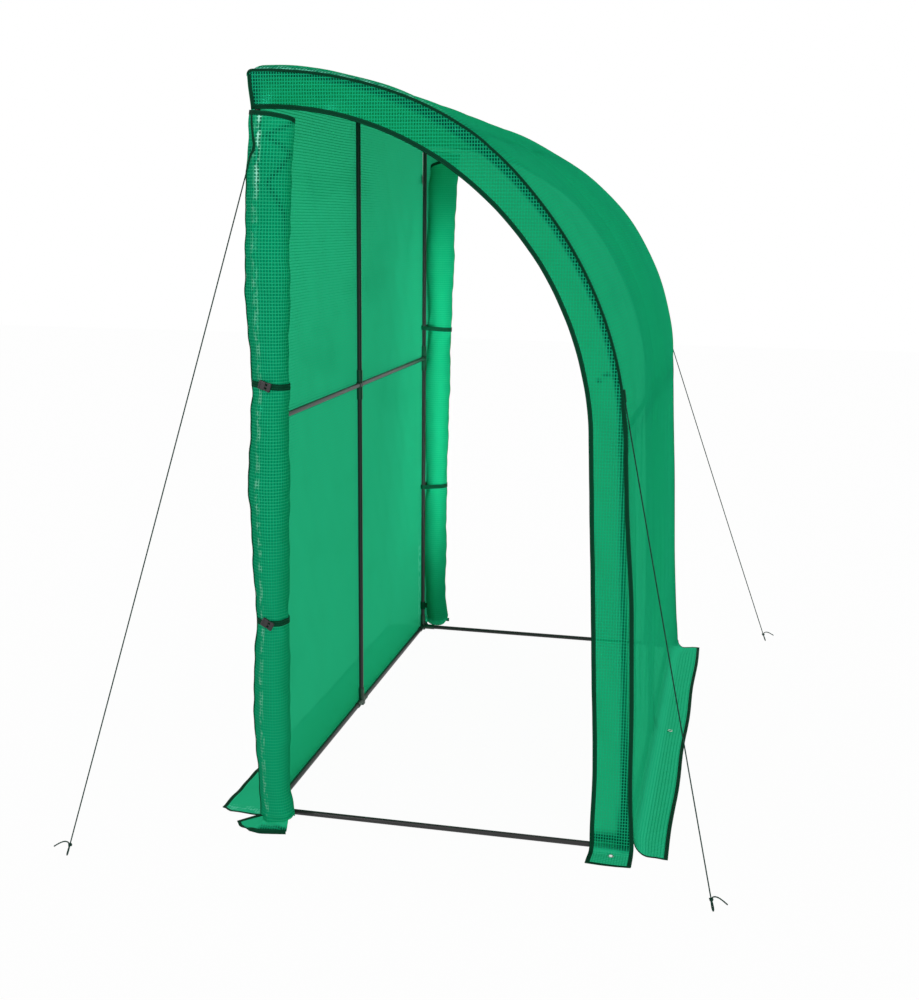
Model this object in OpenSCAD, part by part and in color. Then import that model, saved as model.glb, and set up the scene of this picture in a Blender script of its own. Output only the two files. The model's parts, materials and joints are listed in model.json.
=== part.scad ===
// Lean-to greenhouse: three bent tube arches on a rectangular base, under a sewn cover of
// grid-reinforced cloth. Both end curtains are rolled up and strapped beside the wall posts,
// and four guy ropes run down to loops on the ground.
// X runs from the wall to the front, Y along the length and Z up from the ground.
// The origin is on the ground, under the middle post of the wall side.

/* [Frame] */
// Length between the end arches, tube centre to tube centre
frame_l = 1750; // [1200:10:2400]
// Depth at the ground, from the wall tubes to the front tubes
frame_d = 990; // [800:5:1250]
// Height of the top rail above the ground
frame_h = 1985; // [1650:10:2400]
// Outward lean of the front legs, in degrees from upright
leg_lean = 2.5; // [0.5:0.1:5]
// Straight run of each arch at the wall, before its bend
arch_lead = 29; // [20:1:120]
// Height of the middle rail on the wall side
wall_rail_h = 1105; // [800:10:1150]
// Place of the roof purlin on the arch, in degrees above level
purlin_angle = 55; // [30:1:70]

/* [Tubes and connectors] */
// Radius of the frame tubes
tube_r = 7.5; // [6:0.5:12]
// Wall thickness of a connector's sleeves
socket_wall = 1.7; // [1.5:0.1:5]
// Length of a sleeve from the middle of its connector
socket_l = 48; // [30:1:60]
// Length of a sleeve on the bend of an arch, which is short because the tube curves in it
bend_socket_l = 35; // [25:1:40]
// Length of the short sleeve that holds a rail beside a tube that runs through
stub_l = 17; // [15:1:30]
// Gap between a tube and its sleeve
tube_gap = 0.3; // [0.2:0.05:0.6]
// Gap between the end of a tube and a tube that passes it
butt_gap = 1.5; // [0.5:0.1:5]
// Leg of the upright triangular web in each base corner
web_leg = 33; // [20:1:45]
// Thickness of that web
web_t = 4; // [2:0.5:6]

/* [Cover] */
// Thickness of the cover cloth
cover_t = 1; // [0.8:0.1:3]
// Gap between the connectors and the cover
cover_gap = 0.5; // [0.3:0.1:2]
// Width of the strip that frames each end opening
strip_w = 94; // [60:1:150]
// Thickness of the skirts and flaps on the ground
skirt_t = 1.5; // [1:0.1:3]
// Width of the front skirt
front_skirt_w = 96; // [85:1:200]
// Width of the skirt on the wall side
wall_skirt_w = 135; // [60:1:200]
// How far the skirts reach past the end strips
skirt_over = 13; // [5:1:40]
// Radius of the notch in each skirt corner
notch_r = 45; // [20:1:50]
// Reach of the flap at the foot of each end strip
flap_l = 80; // [75:1:150]

/* [Eyelets] */
// Distance from the front's foot to the middle of the front skirt's eyelet
skirt_eyelet = 51; // [30:1:70]
// Distance from an end strip to the middle of its flap's eyelet
flap_eyelet = 27; // [20:1:60]
// Radius of the hole that a ground peg goes through
eyelet_r = 4; // [3:0.5:6]
// Outer radius of an eyelet's rim
eyelet_rim_r = 8.5; // [8:0.5:12]
// Thickness of the rim on top of the cloth
eyelet_rim_t = 0.8; // [0.5:0.1:1.5]

/* [Rolled doors] */
// Radius of a rolled door between its straps
roll_r = 54; // [40:1:65]
// How far a strap draws it in
pinch = 8; // [2:1:15]
// How far the roll reaches past the wall posts' middles, towards the wall
roll_past = 12; // [5:1:15]
// Height of the upper strap
upper_strap_h = 1220; // [1180:10:1300]
// Height of the lower strap
lower_strap_h = 592; // [400:1:700]
// Width of the strap webbing
strap_w = 16; // [10:1:30]
// Thickness of the strap webbing
strap_t = 1.6; // [1:0.1:2.5]
// Width of a strap's buckle
buckle_w = 34; // [25:1:50]
// Thickness of a strap's buckle
buckle_t = 7; // [5:0.5:12]

/* [Guy ropes] */
// Radius of the rope
rope_r = 1.75; // [1.5:0.05:3]
// Radius of the knots
knot_r = 4.5; // [4:0.1:8]
// Inner radius of the loop at the ground
loop_r = 9; // [6:0.5:20]
// Distance of the wall-side ropes' fastening below the top rail
wall_rope_drop = 200; // [80:5:500]
// Place of the front ropes' fastening on the arch, in degrees above level
front_rope_angle = 8.9; // [6:0.1:25]

/* [Hidden] */

TUBE_GREY = [0.17, 0.15, 0.16];
JOINT_GREEN = [0.02, 0.24, 0.14];
CLOTH_GREEN = [0.09, 0.6, 0.41];
TAPE_GREEN = [0.03, 0.3, 0.18];
BUCKLE_BLACK = [0.07, 0.07, 0.07];
EYELET_METAL = [0.75, 0.76, 0.74];
ROPE_GREEN = [0.05, 0.12, 0.09];

$fn = 48;
near = 0;
far = 1;
ALONG_X = [1, 0, 0];
ALONG_Y = [0, 1, 0];
UP = [0, 0, 1];
clear = 0.3;

socket_r = tube_r + tube_gap + socket_wall;
butt = tube_r + butt_gap;
// A connector's middle is a ball a little larger than its sleeves, and the lowest ones
// stand on flat soles
node_r = socket_r + 1;
base_z = node_r + 0.5;
half_l = frame_l / 2;
frames_y = [-half_l, 0, half_l];

// The arch bends through a quarter circle less the legs' lean, so its radius follows
// from the depth, the height, the lead and the lean
lean_t = tan(leg_lean);
leg_up = [-sin(leg_lean), 0, cos(leg_lean)];
arch_r = (frame_d - arch_lead - lean_t * (frame_h - base_z))
    / (cos(leg_lean) - lean_t * (1 - sin(leg_lean)));
arch_z = frame_h - arch_r;
// A straight sleeve on the bend leaves room for the tube's curve along its length
bend_gap = tube_gap + pow(bend_socket_l, 2) / (2 * arch_r);
lead_gap = tube_gap + pow(max(0, socket_l - arch_lead), 2) / (2 * arch_r);

cover_in = node_r + cover_gap;
cover_out = cover_in + cover_t;
cover_half = half_l + cover_in;
end_face = cover_half + cover_t;
skirt_end = end_face + skirt_over;

roll_x = roll_r - roll_past;
roll_y = -(cover_half + roll_r);
roll_top = frame_h + cover_out - strip_w - 10;
roll_end_r = roll_r - 8;
pinch_r = roll_r - pinch;
pinch_half = strap_w / 2 + 4;
strap_in = strap_t + clear;

wall_rope_h = frame_h - wall_rope_drop;
tab_w = 20;
tab_h = 30;
tab_t = 2.5;

tie_h = 30;
tie_t = 2;
tie_z = 100;
tie_knob = [9, 14, 16];

// Where each rope's loop stands on the ground, for the near end
wall_rope_ground = [-432, -1241];
front_rope_ground = [1228, -1136];
far_front_rope_ground = [1368, 1057];

eyelet_barrel_r = eyelet_r + 1.8;
skirt_eyelet_x = leg_x(cover_out, 0) + skirt_eyelet;
flap_eyelet_x = leg_x(cover_out - strip_w / 2, 0);
flap_eyelet_y = -(end_face + flap_eyelet);

// A point of the arch's side view, at an angle above level and a distance outside the tube
function arch_point(angle, off) =
    [arch_lead + (arch_r + off) * cos(angle), 0, arch_z + (arch_r + off) * sin(angle)];

// Where the front leg's line, moved outwards by off, is at height z
function leg_x(off, z) = frame_d - (z - base_z) * lean_t + off / cos(leg_lean);

function unit(v) = v / norm(v);

// A round bar from one point to another
module rod(from, to, r) {
    run = to - from;
    translate(from)
        rotate([0, acos(run.z / norm(run)), atan2(run.y, run.x)])
            cylinder(h = norm(run), r = r);
}

// The bent part of an arch as a round bar
module bend(r) {
    translate([arch_lead, 0, arch_z])
        rotate([90, 0, 0])
            rotate_extrude(angle = 90 - leg_lean, start = leg_lean, $fn = 180)
                translate([arch_r, 0]) circle(r = r, $fn = 48);
}

// Mirrors a near-end piece to the far end
module at_end(side) {
    mirror([0, side, 0]) children();
}

// A sleeve is a list of its way, its length, the gap round its tube and the start of its bore.
// A blind one stops the tube, an open one lets it run through the connector's middle, and a
// stub holds a rail beside such a tube.
function blind(way, gap = tube_gap) = [way, socket_l, gap, butt - tube_gap];
function open(way, length = socket_l, gap = tube_gap) = [way, length, gap, -1];
function stub(way) = [way, stub_l, tube_gap, 0];

// A connector with the given sleeves. Soles and webs are its children.
module hub(sleeves) {
    difference() {
        union() {
            sphere(r = node_r);
            for (s = sleeves) rod([0, 0, 0], s[0] * s[1], socket_r);
            children();
        }
        for (s = sleeves) rod(s[0] * s[3], s[0] * (s[1] + 1), tube_r + s[2]);
    }
}

// The flat sole under a base connector
module sole() {
    translate([-node_r, -node_r, -base_z]) cube([2 * node_r, 2 * node_r, base_z]);
}

// The web between an upright sleeve and a level one
module corner_web(upright, level) {
    rotate([90, 0, 0]) linear_extrude(web_t, center = true)
        polygon([[0, 0], web_leg * [level.x, level.z], web_leg * [upright.x, upright.z]]);
}

// Spans of tube along Y between the frames, each stopping short of the connectors' middles
module spans(x, z) {
    for (i = [0, 1])
        rod([x, frames_y[i] + butt, z], [x, frames_y[i + 1] - butt, z], tube_r);
}

module wall_post(y) {
    color(TUBE_GREY) rod([0, y, base_z + butt], [0, y, frame_h - butt], tube_r);
}

module arch(y) {
    color(TUBE_GREY) translate([0, y, 0]) {
        translate([arch_lead, 0, frame_h]) rotate([0, -90, 0])
            cylinder(h = arch_lead - butt, r = tube_r);
        bend(tube_r);
    }
}

module front_leg(y) {
    foot = [frame_d, y, base_z];
    top = arch_point(leg_lean, 0) + [0, y, 0];
    color(TUBE_GREY) rod(foot + leg_up * butt, top - leg_up, tube_r);
}

module wall_base_rail() {
    color(TUBE_GREY) spans(0, base_z);
}

module front_base_rail() {
    color(TUBE_GREY) spans(frame_d, base_z);
}

module end_sill(side) {
    color(TUBE_GREY) at_end(side)
        rod([butt, -half_l, base_z], [frame_d - butt, -half_l, base_z], tube_r);
}

module wall_middle_rail() {
    color(TUBE_GREY) spans(0, wall_rail_h);
}

module front_middle_rail() {
    joint = arch_point(leg_lean, 0);
    color(TUBE_GREY) spans(joint.x, joint.z);
}

module top_rail() {
    color(TUBE_GREY) spans(0, frame_h);
}

module roof_purlin() {
    seat = arch_point(purlin_angle, 0);
    color(TUBE_GREY) spans(seat.x, seat.z);
}

// Base corners on the wall side: post, base rail and end sill meet here
module wall_corner_joints() {
    color(JOINT_GREEN) for (side = [near, far])
        at_end(side) translate([0, -half_l, base_z])
            hub([blind(ALONG_X), blind(ALONG_Y), blind(UP)]) {
                corner_web(UP, ALONG_X);
                sole();
            }
}

// Base corners at the front: leg, base rail and end sill meet here
module front_corner_joints() {
    color(JOINT_GREEN) for (side = [near, far])
        at_end(side) translate([frame_d, -half_l, base_z])
            hub([blind(-ALONG_X), blind(ALONG_Y), blind(leg_up)]) {
                corner_web(leg_up, -ALONG_X);
                sole();
            }
}

// Tees under the middle post and the middle leg
module base_tees() {
    color(JOINT_GREEN) {
        translate([0, 0, base_z]) hub([blind(ALONG_Y), blind(-ALONG_Y), blind(UP)]) sole();
        translate([frame_d, 0, base_z]) hub([blind(ALONG_Y), blind(-ALONG_Y), blind(leg_up)]) sole();
    }
}

// The ways along Y in which rails leave one of the three frames
function rail_ways(i) = i == 0 ? [ALONG_Y] : i == 1 ? [ALONG_Y, -ALONG_Y] : [-ALONG_Y];

// Crosses where the posts pass the middle rail on the wall side
module wall_rail_joints() {
    color(JOINT_GREEN) for (i = [0, 1, 2])
        translate([0, frames_y[i], wall_rail_h])
            hub([open(UP), open(-UP), for (way = rail_ways(i)) stub(way)]);
}

// Crosses where each arch meets its front leg and the front middle rail
module leg_joints() {
    joint = arch_point(leg_lean, 0);
    color(JOINT_GREEN) for (i = [0, 1, 2])
        translate(joint + [0, frames_y[i], 0])
            hub([
                open(leg_up, bend_socket_l, bend_gap), open(-leg_up),
                for (way = rail_ways(i)) stub(way)
            ]);
}

// Joints at the wall's top: post, arch and top rail meet here
module top_joints() {
    color(JOINT_GREEN) for (i = [0, 1, 2])
        translate([0, frames_y[i], frame_h])
            hub([blind(-UP), blind(ALONG_X, lead_gap), for (way = rail_ways(i)) blind(way)]);
}

// Crosses that seat the roof purlin on the arches
module purlin_joints() {
    seat = arch_point(purlin_angle, 0);
    along_arch = [-sin(purlin_angle), 0, cos(purlin_angle)];
    color(JOINT_GREEN) for (i = [0, 1, 2])
        translate(seat + [0, frames_y[i], 0])
            hub([
                for (way = [along_arch, -along_arch]) open(way, bend_socket_l, bend_gap),
                for (way = rail_ways(i)) stub(way)
            ]);
}

module wall_sheet() {
    color(CLOTH_GREEN) translate([-cover_out, -cover_half, 0])
        cube([cover_t, 2 * cover_half, frame_h + cover_out]);
}

// The roof: a flat start at the wall and the long bend over the arches
module roof_sheet() {
    color(CLOTH_GREEN) {
        translate([-cover_in, -cover_half, frame_h + cover_in])
            cube([arch_lead + cover_in, 2 * cover_half, cover_t]);
        translate([arch_lead, 0, arch_z])
            rotate([90, 0, 0])
                rotate_extrude(angle = 90 - leg_lean, start = leg_lean, $fn = 180)
                    translate([arch_r + cover_in, -cover_half])
                        square([cover_t, 2 * cover_half]);
    }
}

// A slab along the front legs from the end of the bend to the ground, from inner to outer
// outside the tubes, over the span y0 to y1
module leg_slab(inner, outer, y0, y1) {
    difference() {
        translate([arch_lead, 0, arch_z]) rotate([0, -leg_lean, 0])
            translate([arch_r + inner, y0, -1.2 * arch_z])
                cube([outer - inner, y1 - y0, 1.2 * arch_z]);
        translate([0, y0 - 1, -arch_z]) cube([2 * frame_d, y1 - y0 + 2, arch_z]);
    }
}

// The front: from the end of the bend straight down along the legs
module front_sheet() {
    color(CLOTH_GREEN) leg_slab(cover_in, cover_out, -cover_half, cover_half);
}

// The strip that frames an end opening comes in two pieces, over the arch and down the leg
module arch_strip(side) {
    inner = cover_out - strip_w;
    color(CLOTH_GREEN) at_end(side) {
        translate([-cover_out, -end_face, frame_h + inner])
            cube([arch_lead + cover_out, cover_t, strip_w]);
        translate([arch_lead, -cover_half, arch_z]) rotate([90, 0, 0])
            rotate_extrude(angle = 90 - leg_lean, start = leg_lean, $fn = 180)
                translate([arch_r + inner, 0]) square([strip_w, cover_t]);
    }
}

module leg_strips() {
    color(CLOTH_GREEN) for (side = [near, far]) at_end(side)
        leg_slab(cover_out - strip_w, cover_out, -end_face, -cover_half);
}

// Outline of a skirt on the ground, notched at its two inner corners
module skirt_outline(w) {
    difference() {
        translate([0, -skirt_end]) square([w, 2 * skirt_end]);
        for (s = [-1, 1]) translate([0, s * skirt_end]) circle(r = notch_r);
    }
}

module eyelet_hole(x, y) {
    translate([x, y, -1]) cylinder(h = skirt_t + 2, r = eyelet_barrel_r + clear / 2);
}

module front_skirt() {
    color(CLOTH_GREEN) difference() {
        translate([leg_x(cover_out, 0), 0, 0])
            linear_extrude(skirt_t) skirt_outline(front_skirt_w);
        eyelet_hole(skirt_eyelet_x, 0);
        // The leaning front sheet stands in this edge
        translate([leg_x(cover_out, 0) - lean_t * skirt_t, -skirt_end - 1, -1])
            cube([lean_t * skirt_t, 2 * skirt_end + 2, skirt_t + 2]);
    }
}

module wall_skirt() {
    color(CLOTH_GREEN) difference() {
        translate([-cover_out, 0, 0]) mirror([1, 0, 0])
            linear_extrude(skirt_t) skirt_outline(wall_skirt_w);
        eyelet_hole(-cover_out - wall_skirt_w / 2, 0);
    }
}

module strip_flaps() {
    inner = leg_x(cover_out - strip_w, 0);
    outer = leg_x(cover_out, 0);
    color(CLOTH_GREEN) for (side = [near, far]) at_end(side) difference() {
        translate([inner, -(end_face + flap_l), 0])
            cube([outer - inner, flap_l, skirt_t]);
        eyelet_hole(flap_eyelet_x, flap_eyelet_y);
    }
}

// One end curtain, rolled up into a long bundle that two straps draw in
module rolled_door(side) {
    color(CLOTH_GREEN) at_end(side) translate([roll_x, roll_y, 0])
        rotate_extrude()
            polygon([
                [0, skirt_t + clear], [roll_end_r, skirt_t + clear],
                [roll_r, 90],
                [roll_r, lower_strap_h - 90],
                [pinch_r, lower_strap_h - pinch_half], [pinch_r, lower_strap_h + pinch_half],
                [roll_r, lower_strap_h + 90],
                [roll_r, upper_strap_h - 90],
                [pinch_r, upper_strap_h - pinch_half], [pinch_r, upper_strap_h + pinch_half],
                [roll_r, upper_strap_h + 90],
                [roll_r, roll_top - 40],
                [roll_end_r, roll_top], [0, roll_top]
            ]);
}

// The curtains' own ground flaps, spread under the rolls
module door_flaps() {
    color(CLOTH_GREEN) for (side = [near, far]) at_end(side) translate([0, -end_face, 0])
        linear_extrude(skirt_t)
            polygon([
                [-cover_out, 0], [-cover_out, -notch_r], [-72, -65],
                [-4, -111], [78, -97], [82, 0]
            ]);
}

// The area that one strap goes round: the roll and the wall post beside it
module strap_area(grow) {
    hull() {
        translate([roll_x, roll_y]) circle(r = pinch_r + grow, $fn = 64);
        translate([0, -half_l]) circle(r = tube_r + grow, $fn = 32);
    }
}

module door_straps() {
    color(TAPE_GREEN) for (side = [near, far], h = [lower_strap_h, upper_strap_h])
        at_end(side) translate([0, 0, h - strap_w / 2]) linear_extrude(strap_w) difference() {
            strap_area(strap_in);
            strap_area(clear);
        }
}

// Side-release buckles on the outside of the straps
module strap_buckles() {
    back_r = pinch_r + strap_in + clear;
    color(BUCKLE_BLACK) for (side = [near, far], h = [lower_strap_h, upper_strap_h])
        at_end(side) translate([roll_x, roll_y, h]) difference() {
            translate([-buckle_w / 2, -back_r - buckle_t, -strap_w / 2 - 3])
                cube([buckle_w, buckle_t + 4, strap_w + 6]);
            cylinder(h = strap_w + 8, r = back_r, center = true);
        }
}

// Ties that hold the cover to the feet of the end posts, with their pull-through knobs
module post_ties() {
    ring_r = tube_r + clear + tie_t;
    color(TAPE_GREEN) for (side = [near, far])
        at_end(side) translate([0, -half_l, tie_z]) difference() {
            union() {
                cylinder(h = tie_h, r = ring_r, center = true);
                translate([ring_r - 2, -tie_knob.y / 2, -tie_knob.z / 2]) cube(tie_knob);
            }
            cylinder(h = tie_h + 2, r = tube_r + clear, center = true);
        }
}

module eyelet(x, y) {
    translate([x, y, 0]) difference() {
        union() {
            cylinder(h = skirt_t, r = eyelet_barrel_r);
            translate([0, 0, skirt_t]) cylinder(h = eyelet_rim_t, r = eyelet_rim_r);
        }
        translate([0, 0, -1]) cylinder(h = skirt_t + eyelet_rim_t + 2, r = eyelet_r);
    }
}

module peg_eyelets() {
    color(EYELET_METAL) {
        for (side = [near, far]) at_end(side) eyelet(flap_eyelet_x, flap_eyelet_y);
        eyelet(skirt_eyelet_x, 0);
        eyelet(-cover_out - wall_skirt_w / 2, 0);
    }
}

// Tabs of webbing, sewn flat on the cover where the ropes are tied
module rope_tabs() {
    color(TAPE_GREEN) for (side = [near, far]) at_end(side) {
        translate([-cover_out - tab_t, -cover_half, wall_rope_h - tab_h / 2])
            cube([tab_t, tab_w, tab_h]);
        translate([arch_lead, -half_l, arch_z])
            rotate([0, -front_rope_angle, 0])
                translate([arch_r + cover_out + clear, -tab_w / 2, -tab_h / 2])
                    cube([tab_t, tab_w, tab_h]);
    }
}

// One taut rope, with a knot at its tab and another over the loop that stands on the ground
module guy_rope(from, ground) {
    middle = [ground.x, ground.y, loop_r + 2 * rope_r];
    back = unit(from - middle);
    knot = middle + back * (loop_r + 2 * rope_r);
    color(ROPE_GREEN) {
        translate(from) sphere(r = knot_r);
        rod(from, knot, rope_r);
        translate(knot) sphere(r = knot_r);
        translate(middle) rotate([90, 0, atan2(back.y, back.x)])
            rotate_extrude() translate([loop_r + rope_r, 0]) circle(r = rope_r, $fn = 24);
    }
}

module guy_rope_wall(side) {
    from = [-cover_out - tab_t - clear - knot_r, -cover_half + tab_w / 2, wall_rope_h];
    at_end(side) guy_rope(from, wall_rope_ground);
}

// The front ropes start on the arches and don't mirror, because their loops lie apart
module guy_rope_front(side) {
    from = arch_point(front_rope_angle, cover_out + 2 * clear + tab_t + knot_r);
    y = side == near ? -half_l : half_l;
    guy_rope(from + [0, y, 0], side == near ? front_rope_ground : far_front_rope_ground);
}

wall_post(frames_y[0]);  // wall_post_near
wall_post(frames_y[1]);  // wall_post_middle
wall_post(frames_y[2]);  // wall_post_far
arch(frames_y[0]);  // arch_near
arch(frames_y[1]);  // arch_middle
arch(frames_y[2]);  // arch_far
front_leg(frames_y[0]);  // front_leg_near
front_leg(frames_y[1]);  // front_leg_middle
front_leg(frames_y[2]);  // front_leg_far
wall_base_rail();
front_base_rail();
end_sill(near);  // end_sill_near
end_sill(far);  // end_sill_far
wall_middle_rail();
front_middle_rail();
top_rail();
roof_purlin();
wall_corner_joints();
front_corner_joints();
base_tees();
wall_rail_joints();
leg_joints();
top_joints();
purlin_joints();
wall_sheet();
roof_sheet();
front_sheet();
arch_strip(near);  // arch_strip_near
arch_strip(far);  // arch_strip_far
leg_strips();
wall_skirt();
front_skirt();
strip_flaps();
rolled_door(near);  // rolled_door_near
rolled_door(far);  // rolled_door_far
door_flaps();
door_straps();
strap_buckles();
post_ties();
peg_eyelets();
rope_tabs();
guy_rope_wall(near);  // guy_rope_wall_near
guy_rope_wall(far);  // guy_rope_wall_far
guy_rope_front(near);  // guy_rope_front_near
guy_rope_front(far);  // guy_rope_front_far
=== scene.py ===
"""Looks of the lean-to greenhouse: its cover, rolled curtains, tapes, ropes and finishes.

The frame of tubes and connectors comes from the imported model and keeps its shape. Every soft
piece is a surface worked out from the frame's own sizes and put in the place of its plain
CAD solid. Lengths are in metres, X runs from the wall to the front, Y along the length and
Z up. The near end of the greenhouse lies at negative Y.
"""

from __future__ import annotations

import json
import logging
import math
from dataclasses import dataclass, field
from enum import Enum
from typing import Any, NamedTuple, Sequence

import bpy
import numpy as np
from mathutils import Matrix
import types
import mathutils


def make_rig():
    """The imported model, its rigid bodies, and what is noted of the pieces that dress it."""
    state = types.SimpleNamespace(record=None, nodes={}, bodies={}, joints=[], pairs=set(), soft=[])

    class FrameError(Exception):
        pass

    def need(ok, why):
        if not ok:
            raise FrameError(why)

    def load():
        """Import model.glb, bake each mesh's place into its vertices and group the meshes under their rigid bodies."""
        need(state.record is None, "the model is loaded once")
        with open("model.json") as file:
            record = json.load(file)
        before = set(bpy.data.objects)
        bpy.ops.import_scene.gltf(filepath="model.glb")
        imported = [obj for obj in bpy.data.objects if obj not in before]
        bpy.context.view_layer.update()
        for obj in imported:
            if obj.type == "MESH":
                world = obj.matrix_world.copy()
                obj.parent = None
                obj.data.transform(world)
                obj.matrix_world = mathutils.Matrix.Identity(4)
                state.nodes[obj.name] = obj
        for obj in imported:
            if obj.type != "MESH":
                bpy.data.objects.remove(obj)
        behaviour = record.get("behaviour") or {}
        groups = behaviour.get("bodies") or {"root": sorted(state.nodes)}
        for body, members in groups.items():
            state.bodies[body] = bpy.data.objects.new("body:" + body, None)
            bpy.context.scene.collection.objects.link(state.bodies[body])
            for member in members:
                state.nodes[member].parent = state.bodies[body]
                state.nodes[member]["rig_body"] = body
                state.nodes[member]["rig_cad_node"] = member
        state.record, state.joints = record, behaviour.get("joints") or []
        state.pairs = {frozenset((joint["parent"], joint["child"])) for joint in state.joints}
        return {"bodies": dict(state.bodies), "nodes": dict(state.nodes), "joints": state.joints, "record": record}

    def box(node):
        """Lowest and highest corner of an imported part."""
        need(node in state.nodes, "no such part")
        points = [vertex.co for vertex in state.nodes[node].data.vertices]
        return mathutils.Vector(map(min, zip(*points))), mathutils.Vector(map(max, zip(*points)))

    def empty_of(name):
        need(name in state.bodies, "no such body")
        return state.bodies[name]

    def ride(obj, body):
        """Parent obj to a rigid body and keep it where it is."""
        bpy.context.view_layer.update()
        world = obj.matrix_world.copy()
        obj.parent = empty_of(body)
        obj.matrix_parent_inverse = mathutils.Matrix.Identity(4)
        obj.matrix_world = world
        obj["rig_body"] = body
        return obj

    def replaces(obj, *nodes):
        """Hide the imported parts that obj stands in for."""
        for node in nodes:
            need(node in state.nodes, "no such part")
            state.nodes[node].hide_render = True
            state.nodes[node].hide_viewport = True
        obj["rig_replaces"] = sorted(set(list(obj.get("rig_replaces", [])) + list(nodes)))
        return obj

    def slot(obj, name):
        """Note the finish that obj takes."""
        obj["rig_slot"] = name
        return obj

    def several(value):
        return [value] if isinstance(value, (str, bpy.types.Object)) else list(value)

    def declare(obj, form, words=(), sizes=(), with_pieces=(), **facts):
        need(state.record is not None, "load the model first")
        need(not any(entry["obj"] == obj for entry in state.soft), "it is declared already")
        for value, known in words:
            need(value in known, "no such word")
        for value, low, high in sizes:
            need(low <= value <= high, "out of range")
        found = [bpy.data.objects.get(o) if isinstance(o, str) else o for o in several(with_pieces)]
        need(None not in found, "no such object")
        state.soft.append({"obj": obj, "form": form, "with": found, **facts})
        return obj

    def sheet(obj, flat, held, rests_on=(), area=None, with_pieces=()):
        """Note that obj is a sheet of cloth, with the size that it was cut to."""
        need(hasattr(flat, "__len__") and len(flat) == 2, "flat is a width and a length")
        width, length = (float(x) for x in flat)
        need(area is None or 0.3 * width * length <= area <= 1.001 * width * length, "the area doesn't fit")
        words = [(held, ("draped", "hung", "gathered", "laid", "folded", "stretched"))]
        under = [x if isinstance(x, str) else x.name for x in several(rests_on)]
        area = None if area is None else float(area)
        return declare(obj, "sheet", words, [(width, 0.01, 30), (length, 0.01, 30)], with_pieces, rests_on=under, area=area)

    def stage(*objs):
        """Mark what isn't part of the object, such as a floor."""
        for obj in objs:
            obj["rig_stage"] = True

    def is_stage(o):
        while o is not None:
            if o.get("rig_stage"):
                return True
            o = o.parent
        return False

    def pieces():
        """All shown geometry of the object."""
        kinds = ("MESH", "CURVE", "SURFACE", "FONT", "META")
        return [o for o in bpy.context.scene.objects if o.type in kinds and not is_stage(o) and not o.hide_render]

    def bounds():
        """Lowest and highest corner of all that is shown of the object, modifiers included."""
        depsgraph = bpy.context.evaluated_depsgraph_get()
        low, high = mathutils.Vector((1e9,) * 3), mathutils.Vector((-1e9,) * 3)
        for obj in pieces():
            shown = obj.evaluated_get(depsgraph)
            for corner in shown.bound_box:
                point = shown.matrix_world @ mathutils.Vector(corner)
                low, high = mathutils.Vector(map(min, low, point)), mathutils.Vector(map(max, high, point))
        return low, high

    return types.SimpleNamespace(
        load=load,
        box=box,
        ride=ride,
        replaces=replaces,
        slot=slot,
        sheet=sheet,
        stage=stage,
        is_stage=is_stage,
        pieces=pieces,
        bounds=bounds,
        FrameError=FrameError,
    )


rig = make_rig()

LOG = logging.getLogger("greenhouse")
Array = np.ndarray
Colour = tuple[float, float, float]
# The name of the per-vertex number that the cloth's material paints as shade.
PAINTED_SHADE_ATTRIBUTE = "pressed"
METRES = "metres"
BODY = "root"
TAU = 2 * math.pi
GROUND = 0.0012
PURLIN_FROM_TOP = math.radians(35)
# How far from the middle along Y the roof's rim gets a line of painted highlight and a band of painted shade.
PAINTED_RIM_AT = 0.862
EYELET_HOLE = 0.0049
EYELET_RIM = 0.0078
SURFACE_OUTPUT = "ShaderNodeOutputMaterial"
WORLD_OUTPUT = "ShaderNodeOutputWorld"


class Slot(Enum):
    """The record's material slots."""

    TUBE = "tube"
    CONNECTOR = "connector"
    CLOTH = "cloth"
    WEBBING = "webbing"
    BUCKLE = "buckle"
    EYELET = "eyelet"
    ROPE = "rope"


class End(Enum):
    """The two ends of the greenhouse, each with the sign of its Y."""

    NEAR = -1
    FAR = 1

    @property
    def label(self) -> str:
        """The end's name in piece and node names."""
        return self.name.lower()


# --------------------------------------------------------------------------------------
# Shader trees
# --------------------------------------------------------------------------------------


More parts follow.
